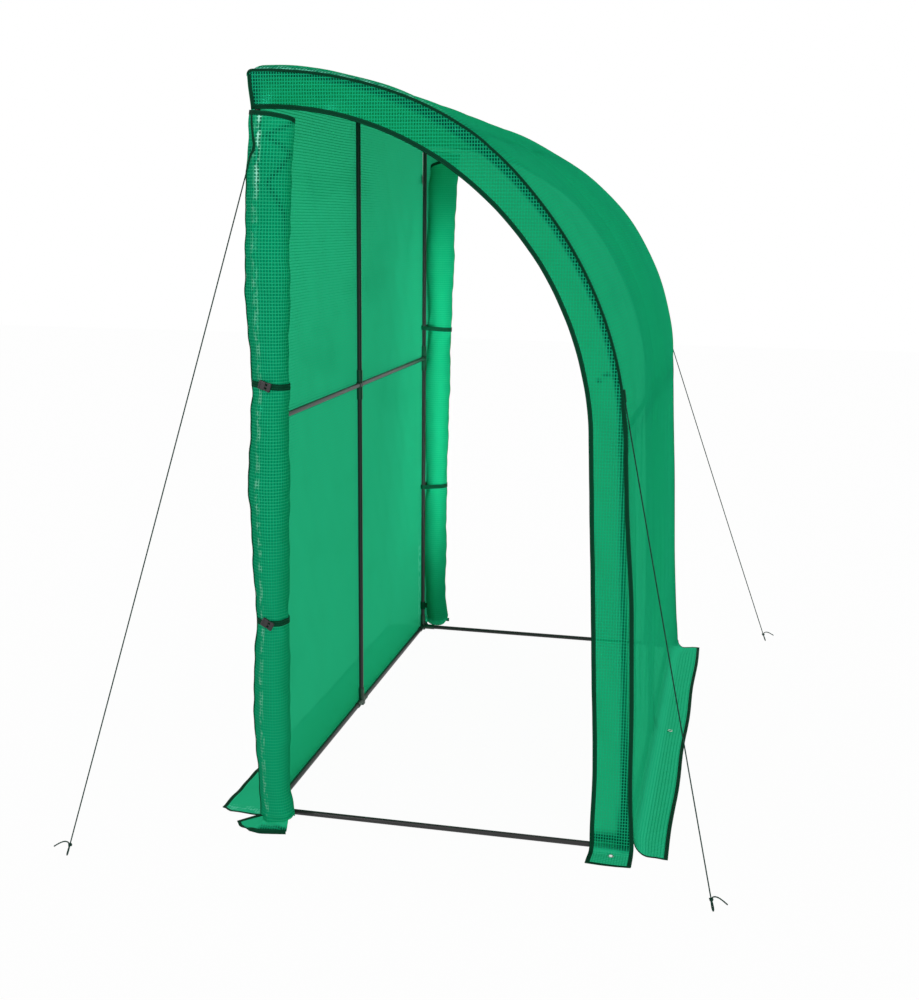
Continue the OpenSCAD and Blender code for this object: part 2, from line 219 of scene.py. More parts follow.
class Socket:
    """An output socket on which arithmetic adds Math nodes."""

    def __init__(self, shader: "Shader", out: bpy.types.NodeSocket) -> None:
        """Wraps one output of a shader's node."""
        self.shader = shader
        self.out = out

    def _math(self, operation: str, first: Any, second: Any = None) -> "Socket":
        """Adds one Math node.

        Args:
            operation: The Math node's operation.
            first: Its first value or link.
            second: Its second value or link, if it has one.

        Returns:
            The node's result.
        """
        values = {0: first} if second is None else {0: first, 1: second}
        return self.shader.node("ShaderNodeMath", {"operation": operation}, values)

    def __add__(self, other: Any) -> "Socket":
        """Sum."""
        return self._math("ADD", self, other)

    def __radd__(self, other: Any) -> "Socket":
        """Sum with a number on the left."""
        return self._math("ADD", other, self)

    def __sub__(self, other: Any) -> "Socket":
        """Difference."""
        return self._math("SUBTRACT", self, other)

    def __rsub__(self, other: Any) -> "Socket":
        """Difference from a number on the left."""
        return self._math("SUBTRACT", other, self)

    def __mul__(self, other: Any) -> "Socket":
        """Product."""
        return self._math("MULTIPLY", self, other)

    def __rmul__(self, other: Any) -> "Socket":
        """Product with a number on the left."""
        return self._math("MULTIPLY", other, self)

    def __truediv__(self, other: Any) -> "Socket":
        """Quotient."""
        return self._math("DIVIDE", self, other)

    def __rtruediv__(self, other: Any) -> "Socket":
        """Quotient of a number on the left."""
        return self._math("DIVIDE", other, self)

    def sine(self) -> "Socket":
        """Sine of an angle in radians."""
        return self._math("SINE", self)

    def fraction(self) -> "Socket":
        """Part after the point."""
        return self._math("FRACT", self)

    def size(self) -> "Socket":
        """Absolute value."""
        return self._math("ABSOLUTE", self)

    def at_least(self, other: Any) -> "Socket":
        """The larger of the two."""
        return self._math("MAXIMUM", self, other)

    def at_most(self, other: Any) -> "Socket":
        """The smaller of the two."""
        return self._math("MINIMUM", self, other)

    def ramp(self, low: float, high: float) -> "Socket":
        """Rises smoothly from 0 at low to 1 at high, or falls where low is the larger.

        Args:
            low: The value that gives 0.
            high: The value that gives 1.

        Returns:
            The smooth step between them.
        """
        ends = {"From Min": min(low, high), "From Max": max(low, high)}
        if low > high:
            ends |= {"To Min": 1.0, "To Max": 0.0}
        settings = {"interpolation_type": "SMOOTHSTEP"}
        return self.shader.node("ShaderNodeMapRange", settings, {"Value": self, **ends}, "Result")


class Shader:
    """The node tree of a material or a world, filled through one method."""

    def __init__(self, owner: bpy.types.Material | bpy.types.World) -> None:
        """Starts an empty tree in its owner."""
        self.owner = owner
        owner.use_nodes = True
        self.tree = owner.node_tree
        self.tree.nodes.clear()

    @classmethod
    def of_material(cls, name: str) -> "Shader":
        """Starts a new material of that name."""
        return cls(bpy.data.materials.new(name))

    def node(self, kind: str, settings: dict[str, Any], inputs: dict[Any, Any],
             output: str | int = 0) -> Socket:
        """Adds a node, applies its settings and then fills its inputs.

        Args:
            kind: The node's type.
            settings: Its own properties.
            inputs: Values or links by the socket's name or number.
            output: The output to return.

        Returns:
            That output.
        """
        made = self.tree.nodes.new(kind)
        for key, value in settings.items():
            setattr(made, key, value)
        for key, value in inputs.items():
            if isinstance(value, Socket):
                self.tree.links.new(value.out, made.inputs[key])
            else:
                made.inputs[key].default_value = value
        return Socket(self, made.outputs[output] if made.outputs else None)

    def mix(self, factor: Any, first: Any, second: Any) -> Socket:
        """Mixes two colours.

        Args:
            factor: The share of the second.
            first: A colour or link.
            second: A colour or link.

        Returns:
            The mixed colour.
        """
        settings = {"data_type": "RGBA", "clamp_factor": True}
        colours = [(*c, 1.0) if isinstance(c, tuple) else c for c in (first, second)]
        return self.node("ShaderNodeMix", settings, {0: factor, 6: colours[0], 7: colours[1]}, 2)

    def blend(self, factor: Any, first: Socket, second: Socket) -> Socket:
        """Mixes two shaders, with the factor as the second's share."""
        return self.node("ShaderNodeMixShader", {}, {0: factor, 1: first, 2: second})

    def place(self) -> Socket:
        """Object coordinates, which are the greenhouse's own."""
        return self.node("ShaderNodeTexCoord", {}, {}, "Object")

    def uv(self) -> tuple[Socket, Socket, Socket]:
        """The piece's own UV in metres, as a vector and its two parts."""
        vector = self.node("ShaderNodeUVMap", {"uv_map": METRES}, {})
        first = self.node("ShaderNodeSeparateXYZ", {}, {0: vector})
        return vector, first, self.beside(first, 1)

    def beside(self, socket: Socket, output: str | int) -> Socket:
        """Another output of the node that a socket belongs to."""
        return Socket(self, socket.out.node.outputs[output])

    def on_camera(self) -> Socket:
        """1 for the rays that show the background: the camera's, mirrored and passing ones."""
        camera = self.node("ShaderNodeLightPath", {}, {}, "Is Camera Ray")
        mirrored = self.beside(camera, "Is Glossy Ray")
        return (camera + mirrored + self.beside(camera, "Is Transmission Ray")).at_most(1.0)

    def attribute(self, name: str) -> Socket:
        """A number that the piece's mesh carries at each vertex, 0 where it has none."""
        return self.node("ShaderNodeAttribute", {"attribute_name": name}, {}, "Fac")

    def noise(self, vector: Socket, scale: float, detail: float = 2.0) -> Socket:
        """Soft noise from 0 to 1, with the scale in waves a metre."""
        inputs = {"Vector": vector, "Scale": scale, "Detail": detail}
        return self.node("ShaderNodeTexNoise", {"noise_dimensions": "3D"}, inputs, 0)

    def stretch(self, vector: Socket, scale: tuple[float, float, float]) -> Socket:
        """The vector with each part multiplied, which stretches a pattern."""
        return self.node("ShaderNodeMapping", {}, {"Vector": vector, "Scale": scale})

    def bump(self, height: Socket, distance: float, strength: float = 1.0) -> Socket:
        """A normal that follows a height, with the distance in metres."""
        inputs = {"Strength": strength, "Distance": distance, "Height": height}
        return self.node("ShaderNodeBump", {}, inputs)

    def finish(self, surface: Socket, output: str = SURFACE_OUTPUT) -> Any:
        """Closes the tree and gives its material or world."""
        self.node(output, {}, {"Surface": surface})
        return self.owner


# --------------------------------------------------------------------------------------
# Finishes
# --------------------------------------------------------------------------------------


@dataclass(frozen=True)
class TubeCoat:
    """Satin dark grey coat on the steel tubes, with fine grain and faint handling marks."""

    colour: Colour = (0.013, 0.012, 0.0125)
    # The colour of the tubes' handling scuffs, which is real wear.
    worn: Colour = (0.035, 0.033, 0.034)
    roughness: float = 0.42

    def material(self) -> bpy.types.Material:
        """Makes the coat's material."""
        shader = Shader.of_material("tube_coat")
        place = shader.place()
        marks = shader.noise(place, 9.0, 4.0)
        grain = shader.noise(place, 900.0, 2.0)
        scuff = marks.ramp(0.58, 0.75)
        skin = shader.node("ShaderNodeBsdfPrincipled", {}, {
            "Base Color": shader.mix(0.5 * scuff + 0.12 * grain, self.colour, self.worn),
            "Roughness": self.roughness + 0.16 * scuff - 0.08 * grain,
            "Normal": shader.bump(grain, 0.00008),
            "Specular IOR Level": 0.4,
        })
        return shader.finish(skin)


@dataclass(frozen=True)
class MouldedPlastic:
    """Moulded plastic with a fine texture, used for the connectors and the buckles."""

    name: str
    colour: Colour
    pale: Colour
    roughness: float = 0.45

    def material(self) -> bpy.types.Material:
        """Makes the plastic's material."""
        shader = Shader.of_material(self.name)
        place = shader.place()
        cloud = shader.noise(place, 35.0, 3.0)
        texture = shader.noise(place, 1400.0, 1.0)
        skin = shader.node("ShaderNodeBsdfPrincipled", {}, {
            "Base Color": shader.mix(cloud.ramp(0.35, 0.8), self.colour, self.pale),
            "Roughness": self.roughness + 0.2 * (cloud - 0.5),
            "Normal": shader.bump(texture, 0.00006),
        })
        return shader.finish(skin)


@dataclass(frozen=True)
class WornLine:
    """A crease along which pale glints are painted into the threads: a painted highlight.

    It runs along the second part of the UV, at a distance across that is the same on both
    sides of 0, and fades out between two distances along.
    """

    across: float
    reach: float
    full: float
    gone: float
    strength: float

    def mask(self, across: Socket, along: Socket, cloud: Socket) -> Socket:
        """How strong the painted highlight is there, from 0 to 1, in patches that follow a cloud."""
        beside = (across.size() - self.across).size().ramp(self.reach, 0.3 * self.reach)
        return beside * along.ramp(self.gone, self.full) * cloud * self.strength


@dataclass(frozen=True)
class GridCloth:
    """Green sheeting: a scattering film with a woven grid of thicker threads in it.

    The threads stand up a little and hide what is behind them, and the film lets light
    through. The rows of dark squares over a tube close behind are painted shade.
    """

    name: str = "grid_cloth"
    pitches: tuple[float, float] = (0.0070, 0.0083)
    thread: float = 0.0024
    thread_colour: Colour = (0.004, 0.36, 0.160)
    film_colour: Colour = (0.002, 0.075, 0.034)
    # The colour of the painted glints along creases and of the painted sheen on the threads.
    worn_colour: Colour = (0.16, 0.66, 0.46)
    # The colour of the painted shade where something lies close behind the cloth.
    dark: Colour = (0.0, 0.035, 0.016)
    through: Colour = (0.030, 0.70, 0.335)
    clear: Colour = (0.06, 0.66, 0.33)
    film_through: float = 0.62
    thread_through: float = 0.17
    film_clear: float = 0.15
    gloss: float = 0.012
    gloss_colour: Colour = (0.05, 1.0, 0.70)
    ribs: float = 0.0
    # The creases along which glints are painted as highlights.
    worn: tuple[WornLine, ...] = ()

    def material(self) -> bpy.types.Material:
        """Makes the cloth's material.

        The grid is the larger of two sets of lines, each a smooth band round a whole
        multiple of its pitch. The film lets a little less light through in soft streaks that follow a stretched noise.
        """
        shader = Shader.of_material(self.name)
        vector, across, along = shader.uv()
        lines = []
        for part, pitch in zip((across, along), self.pitches):
            from_line = (part / pitch).fraction() - 0.5
            reach = 0.5 - self.thread / pitch / 2
            lines.append(from_line.size().ramp(reach - 0.05, reach + 0.05))
        thread = lines[0].at_least(lines[1])
        weave = shader.noise(vector, 420.0, 2.0)
        soft = shader.noise(shader.stretch(vector, (1.6, 5.0, 1.0)), 1.0, 3.0)
        streak = soft.ramp(0.5, 0.72)
        # Painted shade: where the vertex number says something lies close behind, the colour darkens, most between the
        # threads.
        pressed = shader.attribute(PAINTED_SHADE_ATTRIBUTE)
        painted_shade = pressed * (1.0 - 0.72 * thread)
        colour = shader.mix(thread, self.film_colour, self.thread_colour)
        colour = shader.mix(painted_shade, colour, self.dark)
        colour = shader.mix(0.25 * weave * thread, colour, self.through)
        # Painted sheen: the horizontal threads are painted a little paler, as if they caught the light.
        if self.ribs:
            colour = shader.mix(self.ribs * lines[1], colour, self.worn_colour)
        cloud = shader.noise(shader.stretch(vector, (90.0, 45.0, 1.0)), 1.0, 2.0).ramp(0.40, 0.66)
        # Painted highlight: pale glints painted into the threads along the given creases.
        for line in self.worn:
            worn = line.mask(across, along, cloud) * (0.1 + 0.9 * thread)
            colour = shader.mix(worn, colour, self.worn_colour)
        normal = shader.bump(thread + 0.25 * weave, 0.00035, 0.8)
        face = shader.node("ShaderNodeBsdfPrincipled", {}, {
            "Base Color": colour,
            "Roughness": 0.5,
            "Normal": normal,
            "Specular IOR Level": 0.0,
        })
        glow = shader.node("ShaderNodeBsdfTranslucent", {}, {"Color": (*self.through, 1.0)})
        window = shader.node("ShaderNodeBsdfTransparent", {}, {"Color": (*self.clear, 1.0)})
        shine = shader.node("ShaderNodeBsdfAnisotropic", {"distribution": "GGX"}, {
            "Color": (*self.gloss_colour, 1.0), "Roughness": 0.18, "Normal": normal})
        spread = self.film_through - thread * (self.film_through - self.thread_through)
        # The painted shade also shuts out the light through the film and the clear view behind it.
        lit = shader.blend((spread - 0.05 * streak) * (1.0 - 0.97 * pressed), face, glow)
        clear = self.film_clear - 0.3 * self.film_clear * streak
        cloth = shader.blend((1.0 - thread) * (1.0 - pressed) * clear, lit, window)
        return shader.finish(shader.blend(self.gloss, cloth, shine))


@dataclass(frozen=True)
class WovenTape:
    """Dark green woven tape with a rib across it and two rows of stitches along it.

    The UV runs in metres, first along the tape and then across it from its middle.
    """

    name: str = "woven_tape"
    colour: Colour = (0.0015, 0.036, 0.016)
    rib_colour: Colour = (0.004, 0.075, 0.036)
    stitch_colour: Colour = (0.006, 0.11, 0.05)
    rib: float = 0.0012
    stitch: float = 0.0042
    stitch_row: float = 0.0036

    def material(self) -> bpy.types.Material:
        """Makes the tape's material."""
        shader = Shader.of_material(self.name)
        vector, along, across = shader.uv()
        rib = 0.5 + 0.5 * (along * (TAU / self.rib)).sine()
        cord = 0.5 + 0.5 * (across * (TAU / (0.9 * self.rib))).sine()
        weave = rib * cord
        row = (across.size() - self.stitch_row).size().ramp(0.0006, 0.0003)
        dash = ((along / self.stitch).fraction() - 0.5).size().ramp(0.36, 0.32)
        stitch = row * dash
        wear = shader.noise(vector, 60.0, 3.0)
        woven = shader.mix(weave * (0.35 + 0.65 * wear), self.colour, self.rib_colour)
        skin = shader.node("ShaderNodeBsdfPrincipled", {}, {
            "Base Color": shader.mix(stitch, woven, self.stitch_colour),
            "Roughness": 0.8 - 0.2 * stitch,
            "Normal": shader.bump(weave + 1.5 * stitch, 0.0003),
            "Specular IOR Level": 0.06,
        })
        return shader.finish(skin)


@dataclass(frozen=True)
class PressedMetal:
    """Bright pressed metal of the eyelets, with rings of fine scratches."""

    colour: Colour = (0.72, 0.73, 0.70)
    dull: Colour = (0.42, 0.43, 0.41)

    def material(self) -> bpy.types.Material:
        """Makes the metal's material."""
        shader = Shader.of_material("pressed_metal")
        place = shader.place()
        stain = shader.noise(place, 160.0, 4.0)
        scratch = shader.noise(shader.stretch(place, (1.0, 1.0, 0.2)), 2600.0, 2.0)
        skin = shader.node("ShaderNodeBsdfPrincipled", {}, {
            "Base Color": shader.mix(stain.ramp(0.45, 0.75), self.colour, self.dull),
            "Metallic": 1.0,
            "Roughness": 0.22 + 0.25 * stain,
            "Normal": shader.bump(scratch, 0.00003),
        })
        return shader.finish(skin)


@dataclass(frozen=True)
class BraidedRope:
    """Dark green twisted rope. The UV runs along it and round it, both in metres."""

    colour: Colour = (0.006, 0.028, 0.02)
    fleck: Colour = (0.03, 0.1, 0.07)
    lay: float = 0.009
    girth: float = 0.011
    strands: int = 3

    def material(self) -> bpy.types.Material:
        """Makes the rope's material: strands run round it once in each length of lay."""
        shader = Shader.of_material("braided_rope")
        vector, along, round_it = shader.uv()
        turn = along * (TAU / self.lay) + round_it * (self.strands * TAU / self.girth)
        strand = 0.5 + 0.5 * turn.sine()
        hair = shader.noise(vector, 900.0, 2.0)
        skin = shader.node("ShaderNodeBsdfPrincipled", {}, {
            "Base Color": shader.mix(strand * hair, self.colour, self.fleck),
            "Roughness": 0.85 - 0.15 * strand,
            "Normal": shader.bump(strand + 0.3 * hair, 0.0005),
            "Specular IOR Level": 0.1,
        })
        return shader.finish(skin)


# --------------------------------------------------------------------------------------
# Surfaces
# --------------------------------------------------------------------------------------


def unit(vectors: Array) -> Array:
    """Vectors scaled to length 1, along the last axis."""
    return vectors / np.maximum(np.linalg.norm(vectors, axis=-1, keepdims=True), 1e-12)


def smooth_step(values: Array, low: float, high: float) -> Array:
    """Rises from 0 at low to 1 at high as 3t^2 - 2t^3.

    Args:
        values: Where it is wanted.
        low: Where it starts.
        high: Where it is done, which may be the smaller.

    Returns:
        The step's value at each.
    """
    part = np.clip((np.asarray(values, float) - low) / (high - low), 0.0, 1.0)
    return part * part * (3 - 2 * part)


def hump(values: Array, middle: float, reach: float, power: float = 2.0) -> Array:
    """A bell of height 1: e to the minus of (distance over reach) to a power."""
    return np.exp(-np.abs((np.asarray(values, float) - middle) / reach) ** power)


@dataclass(frozen=True)
class Wave:
    """One long ripple: amplitude, how many waves a metre along each parameter, and phase."""

    amplitude: float
    first: float
    second: float
    phase: float

    def at(self, a: Array, b: Array) -> Array:
        """Its height, the amplitude times the sine of both parameters' phases together."""
        return self.amplitude * np.sin(TAU * (self.first * a + self.second * b) + self.phase)


def ripple(waves: Sequence[Wave], a: Array, b: Array) -> Array:
    """The sum of several waves over a surface's two parameters."""
    return sum(wave.at(a, b) for wave in waves)


@dataclass(frozen=True)
class Trace:
    """A plane curve of straight and round stretches, each a length and a curvature.

    A stretch of curvature k turns its heading by k times the length run, so its points are
    the start plus (sin - sin, cos - cos) of the headings over k, or a straight run where k
    is 0. The normal is the heading turned a quarter to the left.
    """

    start: tuple[float, float]
    heading: float
    stretches: tuple[tuple[float, float], ...]

    @property
    def length(self) -> float:
        """The whole length."""
        return sum(length for length, _ in self.stretches)

    def ends(self) -> list[float]:
        """The distance at which each stretch ends."""
        return [float(x) for x in np.cumsum([length for length, _ in self.stretches])]

    def at(self, s: Array) -> tuple[Array, Array]:
        """Points and normals at distances along the curve.

        Args:
            s: Distances from the start.

        Returns:
            The points and the unit normals, each with a last axis of two.
        """
        s = np.asarray(s, float)
        point = np.zeros(s.shape + (2,))
        angle = np.zeros(s.shape)
        x, z, phi, begin = *self.start, self.heading, 0.0
        for number, (length, curvature) in enumerate(self.stretches):
            last = number == len(self.stretches) - 1
            run = s - begin if last else np.clip(s - begin, None, length)
            here = (s >= begin) if number else np.ones(s.shape, bool)
            turned = phi + curvature * run
            if curvature:
                step_x = (np.sin(turned) - math.sin(phi)) / curvature
                step_z = (math.cos(phi) - np.cos(turned)) / curvature
            else:
                step_x, step_z = run * math.cos(phi), run * math.sin(phi)
            point[here] = np.stack([x + step_x, z + step_z], -1)[here]
            angle[here] = turned[here]
            if curvature:
                x += (math.sin(phi + curvature * length) - math.sin(phi)) / curvature
                z += (math.cos(phi) - math.cos(phi + curvature * length)) / curvature
            else:
                x, z = x + length * math.cos(phi), z + length * math.sin(phi)
            phi += curvature * length
            begin += length
        return point, np.stack([-np.sin(angle), np.cos(angle)], -1)


def near_line(x: Array, y: Array, spots: Sequence[tuple[float, float]]) -> Array:
    """The distance from places to a line drawn through spots.

    Args:
        x: The places' first part.
        y: The places' second part.
        spots: The line's corners.

    Returns:
        The distance to the nearest of its pieces.
    """
    corners = np.array(spots)
    away = np.full(np.broadcast(x, y).shape, 1.0)
    for start, end in zip(corners[:-1], corners[1:]):
        run = end - start
        part = ((x - start[0]) * run[0] + (y - start[1]) * run[1]) / float(run @ run)
        part = np.clip(part, 0, 1)
        beside = np.hypot(x - start[0] - part * run[0], y - start[1] - part * run[1])
        away = np.minimum(away, beside)
    return away


def build_mesh(name: str, points: Array, faces: Sequence[Sequence[int]], uv: Array,
               material: bpy.types.Material, slot: Slot, pressed: Array) -> bpy.types.Object:
    """Makes an object of points and faces, which rides on the greenhouse's one body.

    Args:
        name: The piece's name.
        points: Its vertices, one row each.
        faces: The vertices of each face.
        uv: The UV of each face corner in metres, in the faces' order.
        material: Its finish.
        slot: The record's slot for that finish.
        pressed: Painted shade at each vertex, from 0 to 1, where something dark lies behind.

    Returns:
        The new object.
    """
    mesh = bpy.data.meshes.new(name)
    mesh.from_pydata(points.reshape(-1, 3), [], faces)
    mesh.polygons.foreach_set("use_smooth", np.ones(len(mesh.polygons), bool))
    layer = mesh.uv_layers.new(name=METRES)
    layer.data.foreach_set("uv", np.asarray(uv, np.float32).ravel())
    mesh.materials.append(material)
    if pressed.any():
        mark = mesh.attributes.new(PAINTED_SHADE_ATTRIBUTE, "FLOAT", "POINT")
        mark.data.foreach_set("value", pressed.astype(np.float32))
    mesh.update()
    piece = bpy.data.objects.new(name, mesh)
    bpy.context.scene.collection.objects.link(piece)
    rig.ride(piece, BODY)
    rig.slot(piece, slot.value)
    LOG.info("%s: %d faces", name, len(mesh.polygons))
    return piece


@dataclass
class Patch:
    """A grid of points with its UV, kept until it is joined with others into one mesh.

    Points have the shape (rows, columns, 3). A closed grid joins its last row or column to
    its first, and then its UV has one row or column more.
    """

    points: Array
    uv: Array
    closed_rows: bool = False
    closed_columns: bool = False
    caps: bool = False
    flipped: bool = False
    gone: Array | None = None
    # The share of painted shade at each point, from 0 to 1.
    pressed: Array | float = 0.0

    def pierce(self, centres: Sequence[tuple[float, float]], inner: float, outer: float) -> None:
        """Opens round holes in the parts of the sheet that lie on the ground.

        Points closer than twice the hole's radius r move outwards, so that their distance
        d becomes r + d / 2, and the faces that lie within the outer radius go.

        Args:
            centres: The holes' middles.
            inner: Their radius.
            outer: The radius that an eyelet's rim hides.
        """
        flat = self.points[..., 2] < 10 * GROUND
        away = np.full(flat.shape, 1.0)
        for centre in centres:
            offset = self.points[..., :2] - np.asarray(centre)
            far = np.linalg.norm(offset, axis=-1)
            moved = np.where(flat & (far < 2 * inner), inner + far / 2, far)
            self.points[..., :2] = np.asarray(centre) + unit(offset) * moved[..., None]
            away = np.where(flat, np.minimum(away, moved), away)
        near = away < outer
        self.gone = near[:-1, :-1] & near[1:, :-1] & near[1:, 1:] & near[:-1, 1:]

    def faces(self) -> tuple[list[list[int]], Array]:
        """The grid's faces and the UV of their corners.

        Each face joins the points (i, j), (i+1, j), (i+1, j+1) and (i, j+1), and a cap is
        one face over the whole first or last row.

        Returns:
            The faces, and the corners' UV in the same order.
        """
        rows, columns = self.points.shape[:2]
        steps_i = np.arange(rows if self.closed_rows else rows - 1)
        steps_j = np.arange(columns if self.closed_columns else columns - 1)
        i, j = (grid.ravel() for grid in np.meshgrid(steps_i, steps_j, indexing="ij"))
        if self.gone is not None:
            kept = ~self.gone.ravel()
            i, j = i[kept], j[kept]
        corners = [(i, j), (i + 1, j), (i + 1, j + 1), (i, j + 1)]
        if self.flipped:
            corners.reverse()
        quads = np.stack([(a % rows) * columns + (b % columns) for a, b in corners], -1)
        uv = np.stack([self.uv[a, b] for a, b in corners], 1).reshape(-1, 2)
        faces = quads.tolist()
        if self.caps:
            first = list(range(columns))
            last = [(rows - 1) * columns + k for k in range(columns)]
            ends = [first, last[::-1]]
            if self.flipped:
                ends = [end[::-1] for end in ends]
            faces += ends
            uv = np.concatenate([uv, np.zeros((2 * columns, 2))])
        return faces, uv


def join(name: str, patches: Sequence[Patch], material: bpy.types.Material,
         slot: Slot) -> bpy.types.Object:
    """Makes one object of several patches.

    Args:
        name: The piece's name.
        patches: The grids that it holds.
        material: Its finish.
        slot: The record's slot for that finish.

    Returns:
        The new object.
    """
    points, faces, uvs, marks, count = [], [], [], [], 0
    for patch in patches:
        made, uv = patch.faces()
        faces += [[k + count for k in face] for face in made]
        points.append(patch.points.reshape(-1, 3))
        marks.append(np.broadcast_to(patch.pressed, patch.points.shape[:2]).ravel())
        uvs.append(uv)
        count += len(points[-1])
    return build_mesh(name, np.concatenate(points), faces, np.concatenate(uvs), material, slot,
                      np.concatenate(marks))


def carry(path: Array, across: Array, normal: Array, profile: Array, closed: bool = False,
          turn: Array | None = None) -> Patch:
    """Carries a closed profile along a path.

    The surface is the path plus the profile's first part times the across direction plus
    its second part times the normal. A turn rolls the profile about the path.

    Args:
        path: The path's points, one row each.
        across: The direction of the profile's first part at each point.
        normal: The direction of its second part.
        profile: The profile's points, counter-clockwise seen along the path.
        closed: Whether the path joins its own start.
        turn: Angles by which the profile is rolled at each point.

    Returns:
        The surface as a patch, with its UV along and round it in metres.
    """
    across, normal = unit(across), unit(normal)
    if turn is not None:
        cos, sin = np.cos(turn)[:, None], np.sin(turn)[:, None]
        across, normal = across * cos + normal * sin, normal * cos - across * sin
    points = (path[:, None] + across[:, None] * profile[None, :, :1]
              + normal[:, None] * profile[None, :, 1:])
    side = np.append(profile[:, 0], profile[0, 0])
    uv = np.stack(np.meshgrid(run_along(path, closed), side, indexing="ij"), -1)
    flipped = float(np.dot(np.cross(across[0], normal[0]), path[1] - path[0])) > 0
    return Patch(points, uv, closed, closed_columns=True, caps=not closed, flipped=flipped)


def flat_profile(width: float, thickness: float, corners: int = 3) -> Array:
    """A flat band's cross-section: a rectangle with round ends, counter-clockwise.

    Args:
        width: Its whole width.
        thickness: Its whole thickness.
        corners: Points in a quarter of each round end.

    Returns:
        The outline's points.
    """
    radius = thickness / 2
    right = np.linspace(-math.pi / 2, math.pi / 2, 2 * corners + 1)
    ends = [np.stack([width / 2 - radius + radius * np.cos(right), radius * np.sin(right)], -1)]
    ends.append(-ends[0])
    span = np.linspace(1, -1, 5)[1:-1] * (width / 2 - radius)
    top = np.stack([span, np.full(3, radius)], -1)
    return np.concatenate([ends[0], top, ends[1], -top])


def round_profile(radius: float, count: int, lobes: float = 0.0) -> Array:
    """A round cross-section, which may swell into three strands.

    Args:
        radius: Its mean radius.
        count: Its number of points.
        lobes: The share of the radius by which the strands stand out.

    Returns:
        The outline's points.
    """
    angle = circle(count)
    reach = radius * (1 + lobes * np.cos(3 * angle))
    return np.stack([reach * np.cos(angle), reach * np.sin(angle)], -1)


def frames_along(path: Array, up: Sequence[float], closed: bool = False) -> tuple[Array, Array]:
    """Two directions square to a path: one square to a fixed vector too, and the third.

    Args:
        path: The path's points.
        up: The fixed vector, which the path never follows.
        closed: Whether the path joins its own start.

    Returns:
        The first and the second direction at each point.
    """
    if closed:
        tangent = unit(np.roll(path, -1, axis=0) - np.roll(path, 1, axis=0))
    else:
        tangent = unit(np.gradient(path, axis=0))
    across = unit(np.cross(tangent, np.asarray(up, float)))
    return across, np.cross(across, tangent)


def edge_band(edge: Array, inner: Array, width: float | Array, thickness: float) -> Patch:
    """A binding folded over a sheet's edge.

    Its middle line runs half its width in from the edge, and its across direction points
    into the sheet.

    Args:
        edge: Points along the sheet's edge.
        inner: A point of the sheet a little way in from each of them.
        width: The width of the band, which may change along it.
        thickness: The thickness of the band.

    Returns:
        The band as a patch.
    """
    tangent = unit(np.gradient(edge, axis=0))
    normal = unit(np.cross(tangent, inner - edge))
    inward = np.cross(normal, tangent)
    width = np.broadcast_to(np.asarray(width, float), edge.shape[:1])
    path = edge + inward * (width / 2 - thickness / 2)[:, None]
    band = carry(path, inward, normal, flat_profile(1.0, thickness))
    middle = band.points - path[:, None]
    reach = np.einsum("ijk,ik->ij", middle, inward)
    band.points += (reach * (width[:, None] - 1.0))[..., None] * inward[:, None]
    band.uv[..., 1] *= np.mean(width)
    return band


def rounded_box(centre: Array, axes: Array, size: Sequence[float], corner: float = 0.35) -> Patch:
    """A box with rounded edges.

    Its points are half the size times (cos u cos v, cos u sin v, sin u), with each cosine
    and sine raised to the corner's power with its sign kept.

    Args:
        centre: Its middle.
        axes: Its three directions, one row each.
        size: Its three whole sizes.
        corner: 1 gives an ellipsoid, and a smaller power a sharper box.

    Returns:
        The box as a patch.
    """
    rows, columns = 15, 28
    u = np.linspace(-1.45, 1.45, rows)[:, None]
    v = circle(columns)[None]

    def raised(value: Array) -> Array:
        """The value to the corner's power, with its sign kept."""
        return np.sign(value) * np.abs(value) ** corner

    local = np.stack(np.broadcast_arrays(
        raised(np.cos(u)) * raised(np.cos(v)),
        raised(np.cos(u)) * raised(np.sin(v)),
        raised(np.sin(u)) + 0 * v), -1)
    points = np.asarray(centre) + (local * np.asarray(size) / 2) @ np.asarray(axes)
    uv = np.zeros((rows, columns + 1, 2))
    return Patch(points, uv, closed_columns=True, caps=True, flipped=True)


def run_along(path: Array, closed: bool = False) -> Array:
    """The distance run at each point of a path, and back at its start if it is closed."""
    ring = np.vstack([path, path[:1]]) if closed else path
    return np.concatenate([[0.0], np.cumsum(np.linalg.norm(np.diff(ring, axis=0), axis=1))])


def circle(count: int) -> Array:
    """Angles of so many points evenly round a circle."""
    return np.arange(count) * TAU / count


# --------------------------------------------------------------------------------------
# The frame's sizes
# --------------------------------------------------------------------------------------


